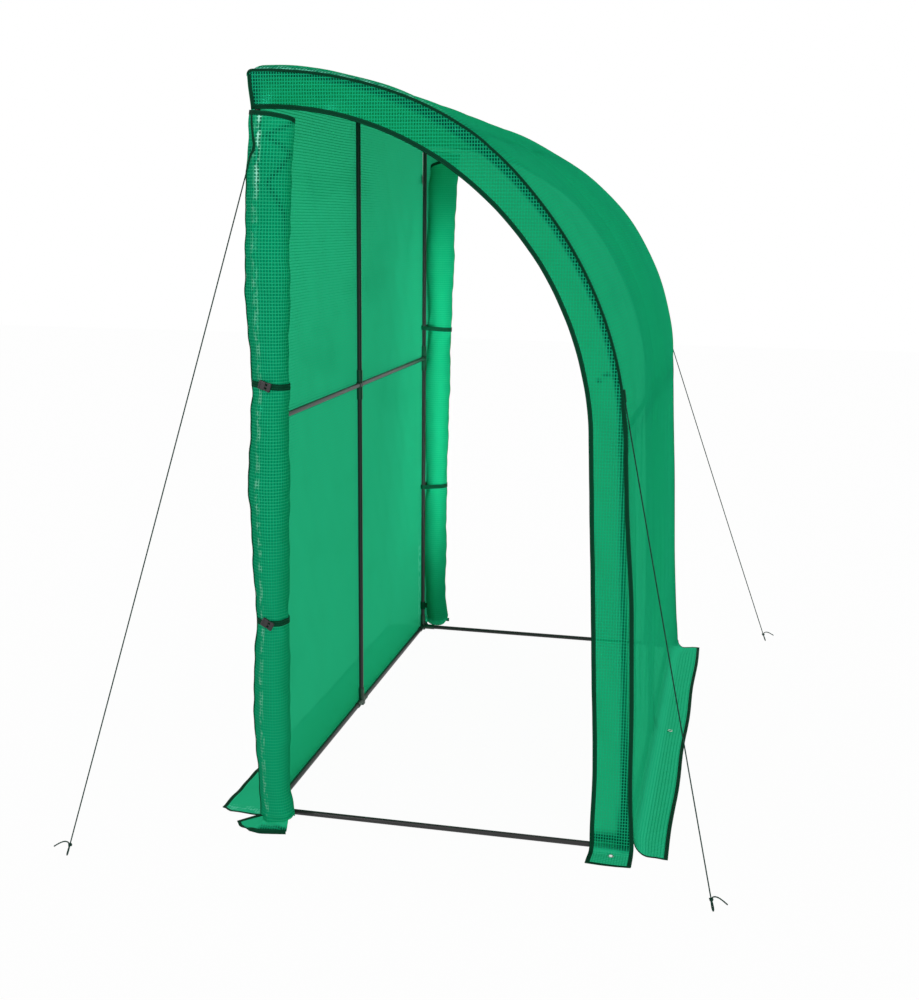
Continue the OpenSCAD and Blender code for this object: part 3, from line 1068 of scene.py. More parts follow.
@dataclass(frozen=True)
class FrameSizes:
    """Sizes of the tube frame and its cover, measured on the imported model."""

    half_l: float
    height: float
    depth: float
    base_z: float
    tube_r: float
    joint_x: float
    joint_z: float
    cover: float
    strip_w: float
    front_edge: float
    wall_edge: float
    skirt_half: float
    flap_y: float
    strap_heights: tuple[float, float]

    @classmethod
    def measured(cls) -> "FrameSizes":
        """Takes the sizes from the boxes of the model's nodes."""
        def middle(node: str) -> Any:
            """The middle of a node's box."""
            low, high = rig.box(node)
            return (low + high) / 2

        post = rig.box("wall_post_far")
        top, base, joint = map(middle, ("top_rail", "front_base_rail", "front_middle_rail"))
        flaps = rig.box("strip_flaps")
        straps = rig.box("door_straps")
        half_strap = 0.008
        lean = math.atan((base.x - joint.x) / (joint.z - base.z))
        return cls(
            half_l=middle("wall_post_far").y, height=top.z, depth=base.x, base_z=base.z,
            tube_r=(post[1].x - post[0].x) / 2, joint_x=joint.x, joint_z=joint.z,
            cover=-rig.box("wall_sheet")[0].x - 0.0005,
            strip_w=(flaps[1].x - flaps[0].x) * math.cos(lean),
            front_edge=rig.box("front_skirt")[1].x, wall_edge=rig.box("wall_skirt")[0].x,
            skirt_half=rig.box("front_skirt")[1].y, flap_y=flaps[1].y,
            strap_heights=(straps[0].z + half_strap, straps[1].z - half_strap))

    @property
    def lean(self) -> float:
        """How far the front legs lean, in radians."""
        return math.atan((self.depth - self.joint_x) / (self.joint_z - self.base_z))

    @property
    def arch_r(self) -> float:
        """The radius of the arches' middle line."""
        return (self.height - self.joint_z) / (1 - math.sin(self.lean))

    @property
    def lead(self) -> float:
        """The X at which the arches start to bend."""
        return self.joint_x - self.arch_r * math.cos(self.lean)

    @property
    def purlin_part(self) -> float:
        """The share of the bend's angle at which the purlin crosses it."""
        return PURLIN_FROM_TOP / (math.pi / 2 - self.lean)

    @property
    def opening_r(self) -> float:
        """The radius of the end opening's edge, on the strip's inner side."""
        return self.arch_r + self.cover - self.strip_w

    @property
    def edge_y(self) -> float:
        """How far along Y the cover's end seams lie."""
        return self.half_l + self.cover

    def on_arch(self, angle: Array, radius: float | Array) -> Array:
        """X and Z of points at angles and radii round the arches' own middle."""
        angle = np.asarray(angle, float)
        x = self.lead + radius * np.cos(angle)
        return np.stack([x, self.height - self.arch_r + radius * np.sin(angle)], -1)


@dataclass(frozen=True)
class Looks:
    """The materials, made once."""

    tube: bpy.types.Material
    connector: bpy.types.Material
    cloth: bpy.types.Material
    curtain: bpy.types.Material
    tape: bpy.types.Material
    buckle: bpy.types.Material
    metal: bpy.types.Material
    rope: bpy.types.Material


# --------------------------------------------------------------------------------------
# The cover
# --------------------------------------------------------------------------------------


class Marks(NamedTuple):
    """Distances along the cover's curve at which its stretches end, from the top rail."""

    rail: float
    lead: float
    joint: float
    foot: float
    ground: float
    edge: float


@dataclass(frozen=True)
class Cover:
    """The roof and front in one sheet down to the skirt, and the wall's sheet with its own.

    The sheets lie on the arches, bulge between them and hang a little slack beside the
    front legs.
    """

    sizes: FrameSizes
    looks: Looks
    eyelets: tuple[tuple[float, float], ...]
    fillet: float = 0.045
    wall_fillet: float = 0.005
    touch: float = 0.0033
    bulge_runs: tuple[float, ...] = (-0.9, 0.08, 0.20, 0.48, 0.70, 0.95, 1.20, 1.42, 1.60)
    bulges: tuple[float, ...] = (0.021, 0.021, 0.011, 0.011, 0.022, 0.029, 0.022, 0.012, 0.009)
    hang_heights: tuple[float, ...] = (0.04, 0.10, 0.21, 0.38, 0.70, 0.80, 0.91, 1.06, 1.21, 1.36,
                                       1.55, 1.70, 1.80, 1.90, 1.96, 1.99)
    near_hang: tuple[float, ...] = (0.011, 0.009, 0.009, 0.014, 0.016, 0.011, 0.006, 0.004, 0.001,
                                    0.0, 0.0, 0.003, 0.011, 0.012, 0.004, 0.0)
    far_hang: tuple[float, ...] = (0.028, 0.025, 0.021, 0.017, 0.017, 0.015, 0.013, 0.012, 0.008,
                                   0.005, 0.008, 0.008, 0.006, 0.003, 0.0, 0.0)
    corner_flare: float = 0.008
    corner_cut: float = 0.022
    row: float = 0.011
    tape_w: float = 0.011
    thin_w: float = 0.006
    tape_t: float = 0.0013

    @property
    def trace(self) -> Trace:
        """The roof's curve from the wall rail over the arch and down to the skirt's edge."""
        z = self.sizes
        radius = z.arch_r + z.cover
        turn = math.pi / 2 - z.lean
        arc_end = z.height - z.arch_r + radius * math.sin(z.lean)
        drop = arc_end - GROUND - self.fillet * (1 - math.sin(z.lean))
        leg = drop / math.cos(z.lean)
        curve = [(z.cover * math.pi / 2, -1 / z.cover), (z.lead, 0.0), (radius * turn, -1 / radius),
                 (leg, 0.0), (self.fillet * turn, 1 / self.fillet)]
        start = (-z.cover, z.height)
        foot = Trace(start, math.pi / 2, tuple(curve))
        reached = foot.at(np.array([foot.length]))[0][0, 0]
        curve.append((z.front_edge - float(reached), 0.0))
        return Trace(start, math.pi / 2, tuple(curve))

    @property
    def marks(self) -> Marks:
        """Where the curve reaches the arch, the leg, the skirt's bend and its edge."""
        return Marks(*self.trace.ends())

    def purlin_at(self) -> float:
        """The distance along the curve at which it crosses the purlin."""
        return self.marks.lead + self.sizes.purlin_part * (self.marks.joint - self.marks.lead)

    def hang(self, s: Array, y: Array) -> Array:
        """How far the end seams stand off beside the legs.

        It follows the stations of the end that is nearer, eased between them.

        Args:
            s: The distance along the curve.
            y: The place along the greenhouse.

        Returns:
            The distance along the curve's outward normal.
        """
        height = self.trace.at(np.minimum(s, self.marks.foot))[0][..., 1, None]
        height = height + np.linspace(-0.05, 0.05, 9)
        near, far = (np.interp(height, self.hang_heights, hung).mean(-1)
                     for hung in (self.near_hang, self.far_hang))
        return np.where(np.asarray(y) > 0, far, near)

    def lift(self, s: Array, y: Array) -> Array:
        """How far the sheet stands out from its curve.

        It is drawn in on the arches, rises beside them as 1 less a bell, and has soft
        folds down the front.

        Args:
            s: The distance along the curve.
            y: The place along the greenhouse.

        Returns:
            The distance along the curve's outward normal.
        """
        _, lead, joint, foot, ground, end = self.marks
        z = self.sizes
        size = np.abs(y)
        arch = hump(size, z.half_l, 0.013) + hump(y, 0, 0.013)
        sleeves = (hump(s, lead - 0.02, 0.05, 6) + hump(s, joint, 0.045, 6)
                   + hump(s, foot, 0.06, 6) + hump(s, self.purlin_at(), 0.035, 6))
        standing = 1 - smooth_step(s, foot - 0.35, foot)
        front = smooth_step(s, joint - 0.3, joint + 0.15)
        bulge = np.interp(s[..., None] - lead + np.linspace(-0.06, 0.06, 7), self.bulge_runs,
                          self.bulges).mean(-1)
        folds = ripple((Wave(0.0022, 0.25, 5.1, 0.4), Wave(0.0014, -0.4, 9.3, 1.9),
                        Wave(0.0009, 1.3, 14.0, 2.2)), s, y)
        soft = ripple((Wave(0.0012, 2.1, 3.1, 0.1), Wave(0.0009, 4.3, -2.2, 1.1)), s, y)
        loose = (1 - hump(size, z.half_l, 0.036, 1.5)) * (1 - hump(y, 0, 0.05, 1.5))
        loose = loose * (size < z.half_l)
        away = standing * loose * (bulge + folds * (0.3 + 0.7 * front) + soft)
        drawn = self.touch * arch * (1 - 0.75 * sleeves.clip(0, 1)) * (s < foot)
        side = self.hang(s, y) * smooth_step(size, z.half_l - 0.10, z.edge_y)
        side = side * (s <= foot)
        skirt = smooth_step(s, ground, ground + 0.03) * (
            0.0016 + ripple((Wave(0.0012, 7.0, 6.0, 0.6), Wave(0.0009, -9.0, 13.0, 2.0)), s, y))
        return away - drawn + side + skirt.clip(0) * (0.4 + 0.6 * smooth_step(s, end, end - 0.03))

    def surface(self, s: Array, y: Array) -> Array:
        """Points of the roof and front sheet at distances along its curve and along Y.

        The skirt's outer edge swings in and out by a few millimetres.
        """
        s, y = np.broadcast_arrays(s, y)
        _, _, _, foot, ground, end = self.marks
        point, normal = self.trace.at(s)
        flat = point + normal * self.lift(s, y)[..., None]
        size = np.abs(y)
        kept = self.hang(s, y) * smooth_step(size, self.sizes.half_l - 0.10, self.sizes.edge_y)
        kept = kept * (s > foot) * (1 - smooth_step(s, foot, end))
        swing = 0.009 + 0.006 * y / self.sizes.half_l + 0.002 * np.sin(11 * y)
        x = flat[..., 0] + kept + swing * ((s - ground) / (end - ground)).clip(0)
        return self.cornered(np.stack([x, y, np.maximum(flat[..., 1], GROUND / 2)], -1))

    def cornered(self, points: Array) -> Array:
        """Moves points close to the top corners of the wall outwards, where the seam flares."""
        x, y, height = (points[..., axis] for axis in range(3))
        z = self.sizes
        flare = smooth_step(height, z.height - z.strip_w, z.height)
        flare = flare * smooth_step(np.abs(y), z.edge_y - 0.06, z.edge_y)
        flare = flare * smooth_step(x, 0.03, -z.cover)
        return np.stack([x - self.corner_flare * flare, y, height], -1)

    def rows(self, trace: Trace) -> Array:
        """Distances along a curve, closer together where it bends sharply."""
        marks, begin = [np.zeros(1)], 0.0
        for length, curvature in trace.stretches:
            count = math.ceil(max(length / self.row, abs(length * curvature) / 0.15))
            marks.append(begin + np.linspace(0, length, count + 1)[1:])
            begin += length
        return np.concatenate(marks)

    def columns(self) -> Array:
        """Places along Y, closer together over the arches."""
        z = self.sizes
        near_arch = np.linspace(-0.028, 0.028, 15)
        marks = [np.linspace(-z.edge_y, z.edge_y, 150), near_arch, z.half_l + near_arch,
                 -z.half_l + near_arch]
        return np.unique(np.concatenate(marks).clip(-z.edge_y, z.edge_y).round(4))

    def widened(self, out: Array, y: Array) -> Array:
        """The sheet's columns, which spread a little where its skirt leaves the leg.

        Args:
            out: How far each row lies out from the foot's bend, below 0 above it.
            y: The columns of the standing sheet.

        Returns:
            The columns' places in each row.
        """
        z = self.sizes
        spread = (z.skirt_half - z.edge_y) * smooth_step(out, -self.fillet, self.fillet)
        outer = smooth_step(np.abs(y), z.edge_y - 0.12, z.edge_y)
        return y + np.sign(y) * outer * spread[:, None]

    def skirt_bands(self, grid: Array, first: int) -> list[Patch]:
        """The bindings round a skirt.

        Args:
            grid: The sheet's points, whose last row is the skirt's outer edge.
            first: The row at which the skirt starts.

        Returns:
            The wide band along the outer edge and thin ones round both ends.
        """
        out = grid[-1] + unit(grid[-1] - grid[-3]) * 0.0004
        bands = [edge_band(out, grid[-3], self.tape_w, self.tape_t)]
        for column, inner in ((0, 3), (-1, -4)):
            edge = grid[first:, column]
            bands.append(edge_band(edge, grid[first:, inner], self.thin_w, 0.9 * self.tape_t))
        return bands

    def build(self) -> None:
        """Makes the two sheets with their bindings."""
        z = self.sizes
        y = self.columns()
        trace = self.trace
        s = self.rows(trace)
        _, lead, _, foot, ground, _ = self.marks
        spread = self.widened(s - ground, y[None])
        uv = np.stack(np.broadcast_arrays(y[None], s[:, None]), -1)
        roof = Patch(self.surface(s[:, None], spread), uv)
        # Painted shade: the vertices' number darkens the sheet over the arches and in a band along its rim near the
        # top.
        over = 0.75 * hump(np.abs(y), z.half_l, 0.006) + 0.55 * hump(y, 0, 0.008)
        rim = hump(np.abs(y), PAINTED_RIM_AT, 0.024, 4) * smooth_step(s, lead + 0.42, lead + 0.25)[:, None]
        standing = smooth_step(s, foot, foot - 0.1)[:, None]
        roof.pressed = np.clip(over[None] * standing + 0.85 * rim, 0, 1)
        roof.pierce([c for c in self.eyelets if c[0] > z.depth], EYELET_HOLE, EYELET_RIM)
        piece = join("cover_roof_and_front", [roof], self.looks.cloth, Slot.CLOTH)
        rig.replaces(piece, "roof_sheet", "front_sheet", "front_skirt")
        first = int(np.searchsorted(s, foot)) + 1
        bands = join("skirt_binding_front", self.skirt_bands(roof.points, first),
                     self.looks.tape, Slot.WEBBING)
        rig.sheet(piece, (2 * z.edge_y, trace.length), "stretched",
                 ["arch_near", "arch_middle", "arch_far", "front_middle_rail"],
                 with_pieces=[bands])
        self.build_wall(y)

    def build_wall(self, y: Array) -> None:
        """Makes the wall's sheet, which rises from the skirt's edge to the top rail.

        Args:
            y: The columns' places along Y.
        """
        z = self.sizes
        bend = self.wall_fillet
        turn = bend * math.pi / 2
        skirt = -z.wall_edge - z.cover - bend
        trace = Trace((z.wall_edge, GROUND), 0.0, (
            (skirt, 0.0), (turn, 1 / bend), (z.height - GROUND - bend, 0.0)))
        s = self.rows(trace)[::-1]
        up = skirt + turn
        point, normal = trace.at(s)
        bay = np.sin(math.pi * np.clip(np.abs(y) / z.half_l, 0, 1)) ** 0.7
        standing = smooth_step(s, up, up + 0.3)[:, None]
        folds = ripple((Wave(0.0016, 0.7, 3.9, 0.8), Wave(0.0011, 1.9, -6.0, 2.7),
                        Wave(0.0008, 5.1, 8.3, 0.2)), s[:, None], y[None])
        laid = 0.0012 + ripple((Wave(0.0010, 8.0, 6.1, 1.6), Wave(0.0010, -5.0, 11.0, 0.9)),
                               s[:, None], y[None])
        crown = smooth_step(s, trace.length - 0.3, trace.length)[:, None]
        away = standing * bay * (0.004 + folds) * (1 - crown)
        away = away + crown * self.lift(np.zeros(1), y)[None]
        away = away + smooth_step(s, up, skirt - 0.02)[:, None] * laid
        arch = hump(np.abs(y), z.half_l, 0.013) + hump(y, 0, 0.013)
        away = away - (self.touch * 0.6 * standing * arch * (1 - crown))
        flat = point[:, None] + normal[:, None] * away.clip(-1, 1)[..., None]
        spread = self.widened(up - s, y[None])
        cut = self.corner_cut * smooth_step(s, 0.035, 0.0)[:, None]
        spread = spread - np.sign(y) * cut * smooth_step(np.abs(y), z.half_l - 0.05, z.edge_y)
        height = np.maximum(flat[..., 1], GROUND / 2)
        grid = self.cornered(np.stack([flat[..., 0], spread, height], -1))
        uv = np.stack(np.broadcast_arrays(y[None], s[:, None]), -1)
        wall = Patch(grid, uv, flipped=True)
        wall.pierce([c for c in self.eyelets if c[0] < 0], EYELET_HOLE, EYELET_RIM)
        piece = join("cover_wall", [wall], self.looks.cloth, Slot.CLOTH)
        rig.replaces(piece, "wall_sheet", "wall_skirt")
        first = int(np.sum(s > up)) + 1
        bands = self.skirt_bands(grid, first)
        rim, below = grid[0] + [-0.0006, 0.0, 0.001], grid[2]
        bands.append(edge_band(rim, below, self.thin_w, 1.6 * self.tape_t))
        binding = join("skirt_binding_wall", bands, self.looks.tape, Slot.WEBBING)
        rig.sheet(piece, (2 * z.edge_y, trace.length), "stretched",
                 ["wall_post_near", "wall_post_middle", "wall_post_far", "wall_middle_rail"],
                 with_pieces=[binding])


@dataclass(frozen=True)
class EndFrame:
    """The cloth strip over one end arch and down the leg, with its flap on the ground."""

    cover: Cover
    end: End
    columns: int = 27
    bend: float = 0.020
    flap_rows: int = 14
    flap_flare: float = 0.004
    tie: tuple[tuple[float, float], ...] = ((0.878, 1.251), (0.890, 1.261), (0.902, 1.267),
                                            (0.922, 1.261), (0.930, 1.246))
    seam_wide: float = 0.011
    seam_thin: float = 0.0068
    inner_w: float = 0.0118
    wall_w: float = 0.0095
    settle: float = 0.02

    def outline(self) -> tuple[Array, Array, Array]:
        """The strip's two edges in the end plane, from the wall to the foot.

        Returns:
            X and Z of the outer edge and of the inner edge, and the distance run along the
            cover's curve at each row.
        """
        z = self.cover.sizes
        trace = self.cover.trace
        _, lead, joint, foot, _, _ = self.cover.marks
        straight = Trace(trace.start, trace.heading, trace.stretches[:4])
        s = self.cover.rows(straight)
        low = float(straight.at(s[-1:])[0][0, 1])
        more = (low - GROUND - self.bend) / math.cos(z.lean)
        s = np.concatenate([s, s[-1] + np.linspace(0, more, 6)[1:]])
        point, normal = straight.at(s)
        lift = self.cover.lift(np.minimum(s, foot), self.end.value * z.edge_y)
        outer = point + normal * lift[:, None]
        level = np.stack([outer[:, 0], np.full(len(s), z.height + z.cover - z.strip_w)], -1)
        angle = math.pi / 2 - (s - lead) / (z.arch_r + z.cover)
        bent = z.on_arch(np.clip(angle, z.lean, math.pi / 2), z.opening_r)
        knee = z.on_arch(np.array([z.lean]), z.opening_r)
        run = (knee[0, 1] - outer[-1, 1]) / math.cos(z.lean)
        part = np.clip((s - joint) / (s[-1] - joint), 0, 1)[:, None]
        leg = knee + part * run * np.array([[math.sin(z.lean), -math.cos(z.lean)]])
        inner = np.where((s > joint)[:, None], leg, np.where((s < lead)[:, None], level, bent))
        inner[:, 0] -= 0.011 * smooth_step(s, foot - 0.30, s[-1]) ** 2
        return outer, inner, s

    def standing(self, s: Array, part: Array, flat: Array, to_tube: Array) -> Array:
        """Points of the strip over the arch and down the leg.

        The cloth is drawn in on the tube, swells over the connectors' sleeves and ripples
        towards its free inner edge.

        Args:
            s: The distance run at each row.
            part: The share of the strip's width at each column.
            flat: X and Z of each point.
            to_tube: How far each point lies inwards from the tube's middle line.

        Returns:
            The points.
        """
        cover, z, side = self.cover, self.cover.sizes, self.end.value
        _, lead, joint, foot, _, _ = cover.marks
        sleeve = (hump(s, lead, 0.06, 6) + hump(s, joint, 0.05, 6) + hump(s, s[-1], 0.07, 6)
                  + hump(s, cover.purlin_at(), 0.05, 6))[:, None]
        free = smooth_step(part, 0.25, 1.0) * smooth_step(s, foot, foot - 0.25)[:, None]
        waves = ripple((Wave(0.0022, 2.3, 0.6, 0.3 * side), Wave(0.0016, 4.9, 0.8, 1.2),
                        Wave(0.0008, 10.7, 0.2, 2.1)), s[:, None], part)
        out = z.cover - cover.touch * hump(to_tube, 0, 0.011) * (1 - 0.7 * sleeve) + free * waves
        out = out + cover.touch * 0.5 * sleeve * hump(to_tube, 0, 0.02)
        return cover.cornered(np.stack([flat[..., 0], side * (z.half_l + out), flat[..., 1]], -1))

    def lying(self, last: Array, part: Array) -> tuple[Array, Array]:
        """The flap, which bends out from the strip's last row and lies on the ground in waves.

        Args:
            last: The strip's last row of points.
            part: The share of the strip's width at each column.

        Returns:
            How far each of its rows lies out from the strip, and its points.
        """
        z, side = self.cover.sizes, self.end.value
        turn = np.linspace(0, math.pi / 2, 7)[1:]
        laid = np.linspace(0, z.flap_y - z.edge_y - self.bend, self.flap_rows)[1:]
        away = np.concatenate([self.bend * (1 - np.cos(turn)), self.bend + laid])[:, None]
        high = np.concatenate([self.bend * (1 - np.sin(turn)), 0 * laid])[:, None]
        wavy = 0.0011 * (1 + np.sin(40 * last[None, :, 0] + 55 * away))
        settled = np.clip(away - self.bend, 0, self.settle) / self.settle
        flare = self.flap_flare * (away / z.strip_w) * (part - 0.15)
        points = np.stack(np.broadcast_arrays(
            last[None, :, 0] - flare, last[None, :, 1] + side * away,
            GROUND + high + settled * wavy), -1)
        return away, points

    def pressed(self, s: Array, flat: Array, to_tube: Array) -> Array:
        """Painted shade where the tube, the sill's connector, the post and the tie lie close behind.

        Args:
            s: The distance run at each row.
            flat: X and Z of each point.
            to_tube: How far each point lies inwards from the tube's middle line.

        Returns:
            A share from 0 to 1.
        """
        _, lead, joint, _, _, _ = self.cover.marks
        on_leg = smooth_step(s, joint - 0.15, joint + 0.15)[:, None]
        strong = (0.12 + 0.88 * smooth_step(s, lead + 0.15, lead + 0.45)
                  - 0.8 * hump(s, joint + 0.36, 0.42, 6))[:, None]
        on_tube = hump(to_tube, -0.0055 * (1 - on_leg), 0.0130 - 0.003 * on_leg, 6) * strong
        low = (s[-1] - s)[:, None]
        sill = hump(low, 0.018, 0.016, 4)
        sill = sill + 0.9 * hump(low, 0.04, 0.06) * hump(to_tube, 0.006, 0.016, 4)
        post = hump(flat[..., 0], 0.0, 0.010, 4) * (s < lead)[:, None]
        tie = hump(near_line(flat[..., 0], flat[..., 1], self.tie), 0, 0.004, 4)
        return np.clip(on_tube + sill + post + 0.8 * tie, 0, 1)

    def build(self) -> None:
        """Makes the strip with its flap."""
        cover, z, side = self.cover, self.cover.sizes, self.end.value
        outer, inner, s = self.outline()
        part = np.linspace(0, 1, self.columns)[None]
        flat = outer[:, None] + part[..., None] * (inner - outer)[:, None]
        wide = np.linalg.norm(inner - outer, axis=1)[:, None]
        to_tube = part * wide - (z.cover + cover.hang(s, side))[:, None]
        stand = self.standing(s, part, flat, to_tube)
        away, flap = self.lying(stand[-1], part)
        grid = np.concatenate([stand, flap])
        uv = np.stack([grid[..., 0], np.concatenate([flat[..., 1], flat[-1:, :, 1] - away])], -1)
        # Painted shade, carried a little way onto the flap.
        pressed = self.pressed(s, flat, to_tube)
        pressed = np.concatenate([pressed, 0.6 * pressed[-1:] * np.exp(-away / 0.006)])
        strip = Patch(grid, uv, flipped=self.end is End.NEAR, pressed=pressed)
        strip.pierce([c for c in cover.eyelets if c[1] * side > z.edge_y], EYELET_HOLE, EYELET_RIM)
        piece = join(f"end_strip_{self.end.label}", [strip], cover.looks.cloth, Slot.CLOTH)
        if self.end is End.NEAR:
            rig.replaces(piece, "arch_strip_near", "leg_strips", "strip_flaps")
        else:
            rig.replaces(piece, "arch_strip_far")
        self.bind(piece, grid, np.concatenate([s, s[-1] + away[:, 0]]))

    def bind(self, piece: bpy.types.Object, grid: Array, run: Array) -> None:
        """Binds the strip's edges, with a seam that is thin over the arch and wide below it.

        Args:
            piece: The strip.
            grid: Its points.
            run: The distance run at each of its rows.
        """
        cover, z, side = self.cover, self.cover.sizes, self.end.value
        below = smooth_step(run, cover.marks.joint - 0.11, cover.marks.joint - 0.07)
        seam = (self.seam_thin + (self.seam_wide - self.seam_thin) * below)[1:-1]
        proud = np.array([0.0, 0.0006 * side, 0.0])
        down = np.linspace(z.height, z.height + z.cover - z.strip_w, 8)
        wall_edge = cover.cornered(np.stack(np.broadcast_arrays(
            -z.cover, side * (z.edge_y + 0.0004), down), -1))
        rim, beside = (grid[1:-1, column] + proud for column in (0, 3))
        bands = [
            edge_band(grid[:, -1], grid[:, -4], self.inner_w, cover.tape_t),
            edge_band(rim, beside, seam, cover.tape_t * 1.3),
            edge_band(grid[-1], grid[-3], self.inner_w * 0.8, cover.tape_t * 0.8),
            edge_band(wall_edge, wall_edge + [0.01, 0.0, 0.0], self.wall_w, cover.tape_t),
        ]
        binding = join(f"end_strip_binding_{self.end.label}", bands, cover.looks.tape, Slot.WEBBING)
        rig.sheet(piece, (z.strip_w, float(run[-1])), "stretched",
                 [f"arch_{self.end.label}", f"front_leg_{self.end.label}"], with_pieces=[binding])


# --------------------------------------------------------------------------------------
# The rolled curtains
# --------------------------------------------------------------------------------------


@dataclass(frozen=True)
class Curtain:
    """One end curtain, rolled up beside the wall post.

    A flat width runs from the wall seam over a short lead and then inwards along a spiral.
    Its stations give the heights at which the roll's left and right sides are stated.
    """

    sizes: FrameSizes
    looks: Looks
    end: End
    width: float = 0.80
    radius: float = 0.050
    hem: tuple[tuple[float, float], ...] = ((0.202, 1.865), (0.134, 1.832), (0.197, 1.790),
                                            (0.142, 1.720), (0.185, 1.645), (0.187, 1.590),
                                            (0.160, 1.45), (0.19, 1.3), (0.19, 0.1))
    seam_heights: tuple[float, ...] = (1.60, 1.72, 1.765, 1.80, 1.91)
    seam_turned: tuple[float, ...] = (0.018, 0.020, 0.040, 0.060, 0.040)
    layer: float = 0.0045
    lead: float = 0.054
    flap_flat: tuple[float, float] = (0.15, 0.11)
    flap_parts: tuple[float, ...] = (0.0, 0.12, 0.32, 0.55, 0.78, 1.0)
    flap_x: tuple[float, ...] = (-0.074, -0.058, -0.026, 0.010, 0.046, 0.083)
    flap_y: tuple[float, ...] = (0.951, 0.976, 0.999, 1.007, 1.004, 0.996)
    axis_y: float = 0.940
    gap: float = 0.008
    foot: float = 0.010
    heights: tuple[float, ...] = (0.02, 0.12, 0.36, 0.595, 0.96, 1.215, 1.43, 1.53, 1.60, 1.67,
                                  1.72, 1.765, 1.795, 1.85, 1.89)
    left: tuple[float, ...] = (0.0, -0.004, -0.017, -0.002, -0.017, 0.001, -0.011, -0.013, -0.009,
                               -0.005, -0.007, -0.006, -0.003, 0.003, 0.006)
    right: tuple[float, ...] = (0.092, 0.078, 0.084, 0.082, 0.093, 0.094, 0.102, 0.103, 0.104,
                                0.106, 0.108, 0.113, 0.115, 0.119, 0.122)

    def sides(self, z: Array) -> tuple[Array, Array]:
        """The roll's middle and half width along X at heights, eased between the stations."""
        at = z[..., None] + np.linspace(-0.025, 0.025, 9)
        low = np.interp(at, self.heights, self.left).mean(-1)
        high = np.interp(at, self.heights, self.right).mean(-1)
        return (low + high) / 2, (high - low) / 2

    def pinch(self, z: Array) -> Array:
        """How hard the straps draw the roll in at heights, from 0 to 1."""
        return sum(hump(z, strap, 0.05, 2) for strap in self.sizes.strap_heights)

    def point(self, w: Array, z: Array) -> Array:
        """Points of the curtain.

        Past the lead, the angle turned is (r - sqrt(r r - layer w / pi)) 2 pi / layer, so
        that the radius shrinks by one layer in each turn. Creases run across the roll,
        most of them close to the straps.

        Args:
            w: The flat distance from the wall seam.
            z: The height.

        Returns:
            The points.
        """
        w, z = np.broadcast_arrays(np.asarray(w, float), np.asarray(z, float))
        middle, half = self.sides(z)
        rolled = np.clip(w - self.lead, 0, None)
        inner = np.sqrt(np.maximum(self.radius ** 2 - self.layer * rolled / math.pi, 1e-5))
        turns = (self.radius - inner) / self.layer
        angle = turns * TAU
        pinch = self.pinch(z)
        crease = ripple((Wave(0.0011, 2, 4.3, 0.0), Wave(0.0008, -1, 9.7, 1.4),
                         Wave(0.0006, 3, 17.0, 2.2)), turns, z)
        near_strap = 0.0014 * pinch * np.sin(7 * angle + 60 * z)
        ridge = 0.0018 * np.sin(3 * angle + 2.0 * np.sin(2.2 * z)) * (1 - pinch)
        ridge = ridge + 0.0028 * hump(angle % TAU, 1.15, 0.16, 1.5) * (1 - pinch)
        radius = (inner + crease + near_strap + ridge) / self.radius
        fall = self.radius * (1 - 0.10 * pinch)
        x = middle - radius * half * np.cos(angle)
        y = self.axis_y + radius * fall * np.sin(angle)
        lead = np.clip(w / self.lead, 0, 1)
        sag = 0.004 * np.sin(math.pi * lead) * np.sin(9 * z)
        start_x = -self.sizes.cover + 0.006 * hump(z, 1.79, 0.07)
        lead_x = start_x + lead * (middle - half * (inner + crease) / self.radius - start_x) + sag
        lead_y = self.sizes.edge_y + lead * (self.axis_y - self.sizes.edge_y)
        on_lead = w < self.lead
        return np.stack([np.where(on_lead, lead_x, x),
                         self.end.value * np.where(on_lead, lead_y, y), z], -1)

    def top(self, w: Array) -> Array:
        """The height of the curtain's top edge, which is cut to the opening's arch."""
        z = self.sizes
        x = np.clip(w - z.lead, 0, 0.97 * z.opening_r)
        return z.height - z.arch_r + np.sqrt(z.opening_r ** 2 - x ** 2) - self.gap

    def build(self) -> None:
        """Makes the rolled sheet, its bindings and its flap on the ground."""
        w = np.linspace(0, self.lead + self.width, 176)
        rows = np.linspace(0, 1, 230)[:, None]
        low = self.foot + 0.036 * hump(w, 0.140, 0.085, 4) + 0.02 * smooth_step(w, 0.2, 0.5)
        low = low[None]
        z = low + rows * (self.top(w)[None] - low)
        grid = self.point(w[None], z)
        uv = np.stack(np.broadcast_arrays(w[None], z), -1)
        sheet = Patch(grid, uv, flipped=self.end is End.FAR, pressed=self.pressed(w[None], z))
        label = self.end.label
        roll = join(f"rolled_curtain_{label}", [sheet], self.looks.curtain, Slot.CLOTH)
        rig.replaces(roll, f"rolled_door_{label}")
        bands = [
            edge_band(grid[-1], grid[-3], 0.011, 0.0014),
            edge_band(grid[:, -1], grid[:, -3], 0.009, 0.0014),
            self.seam(),
        ]
        binding = join(f"curtain_binding_{label}", bands, self.looks.tape, Slot.WEBBING)
        area = float(np.trapz(self.top(w) - low[0], w))
        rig.sheet(roll, (float(w[-1]), float(self.top(np.zeros(1))[0])), "folded",
                 [f"wall_post_{label}"], area=area, with_pieces=[binding])
        self.build_flap()

    def pressed(self, w: Array, z: Array) -> Array:
        """Painted shade where the rolled-in hem, the post and a knot lie close behind the outer turn.

        The hem winds down the roll as a zigzag, seen from one side, and fades out below.

        Args:
            w: The flat distance from the wall seam.
            z: The height.

        Returns:
            A share from 0 to 1.
        """
        w, z = np.broadcast_arrays(w, z)
        hem = hump(near_line(w, z, self.hem), 0, 0.0065, 4)
        hem = hem * (0.12 + 0.88 * smooth_step(z, 1.55, 1.66))
        post = hump(w, 0.121, 0.006, 4) * smooth_step(z, 1.66, 1.72)
        knot = hump(np.hypot(w - 0.100, z - 1.795), 0, 0.012, 4)
        return np.clip(0.8 * hem + 0.75 * post + knot, 0, 1)

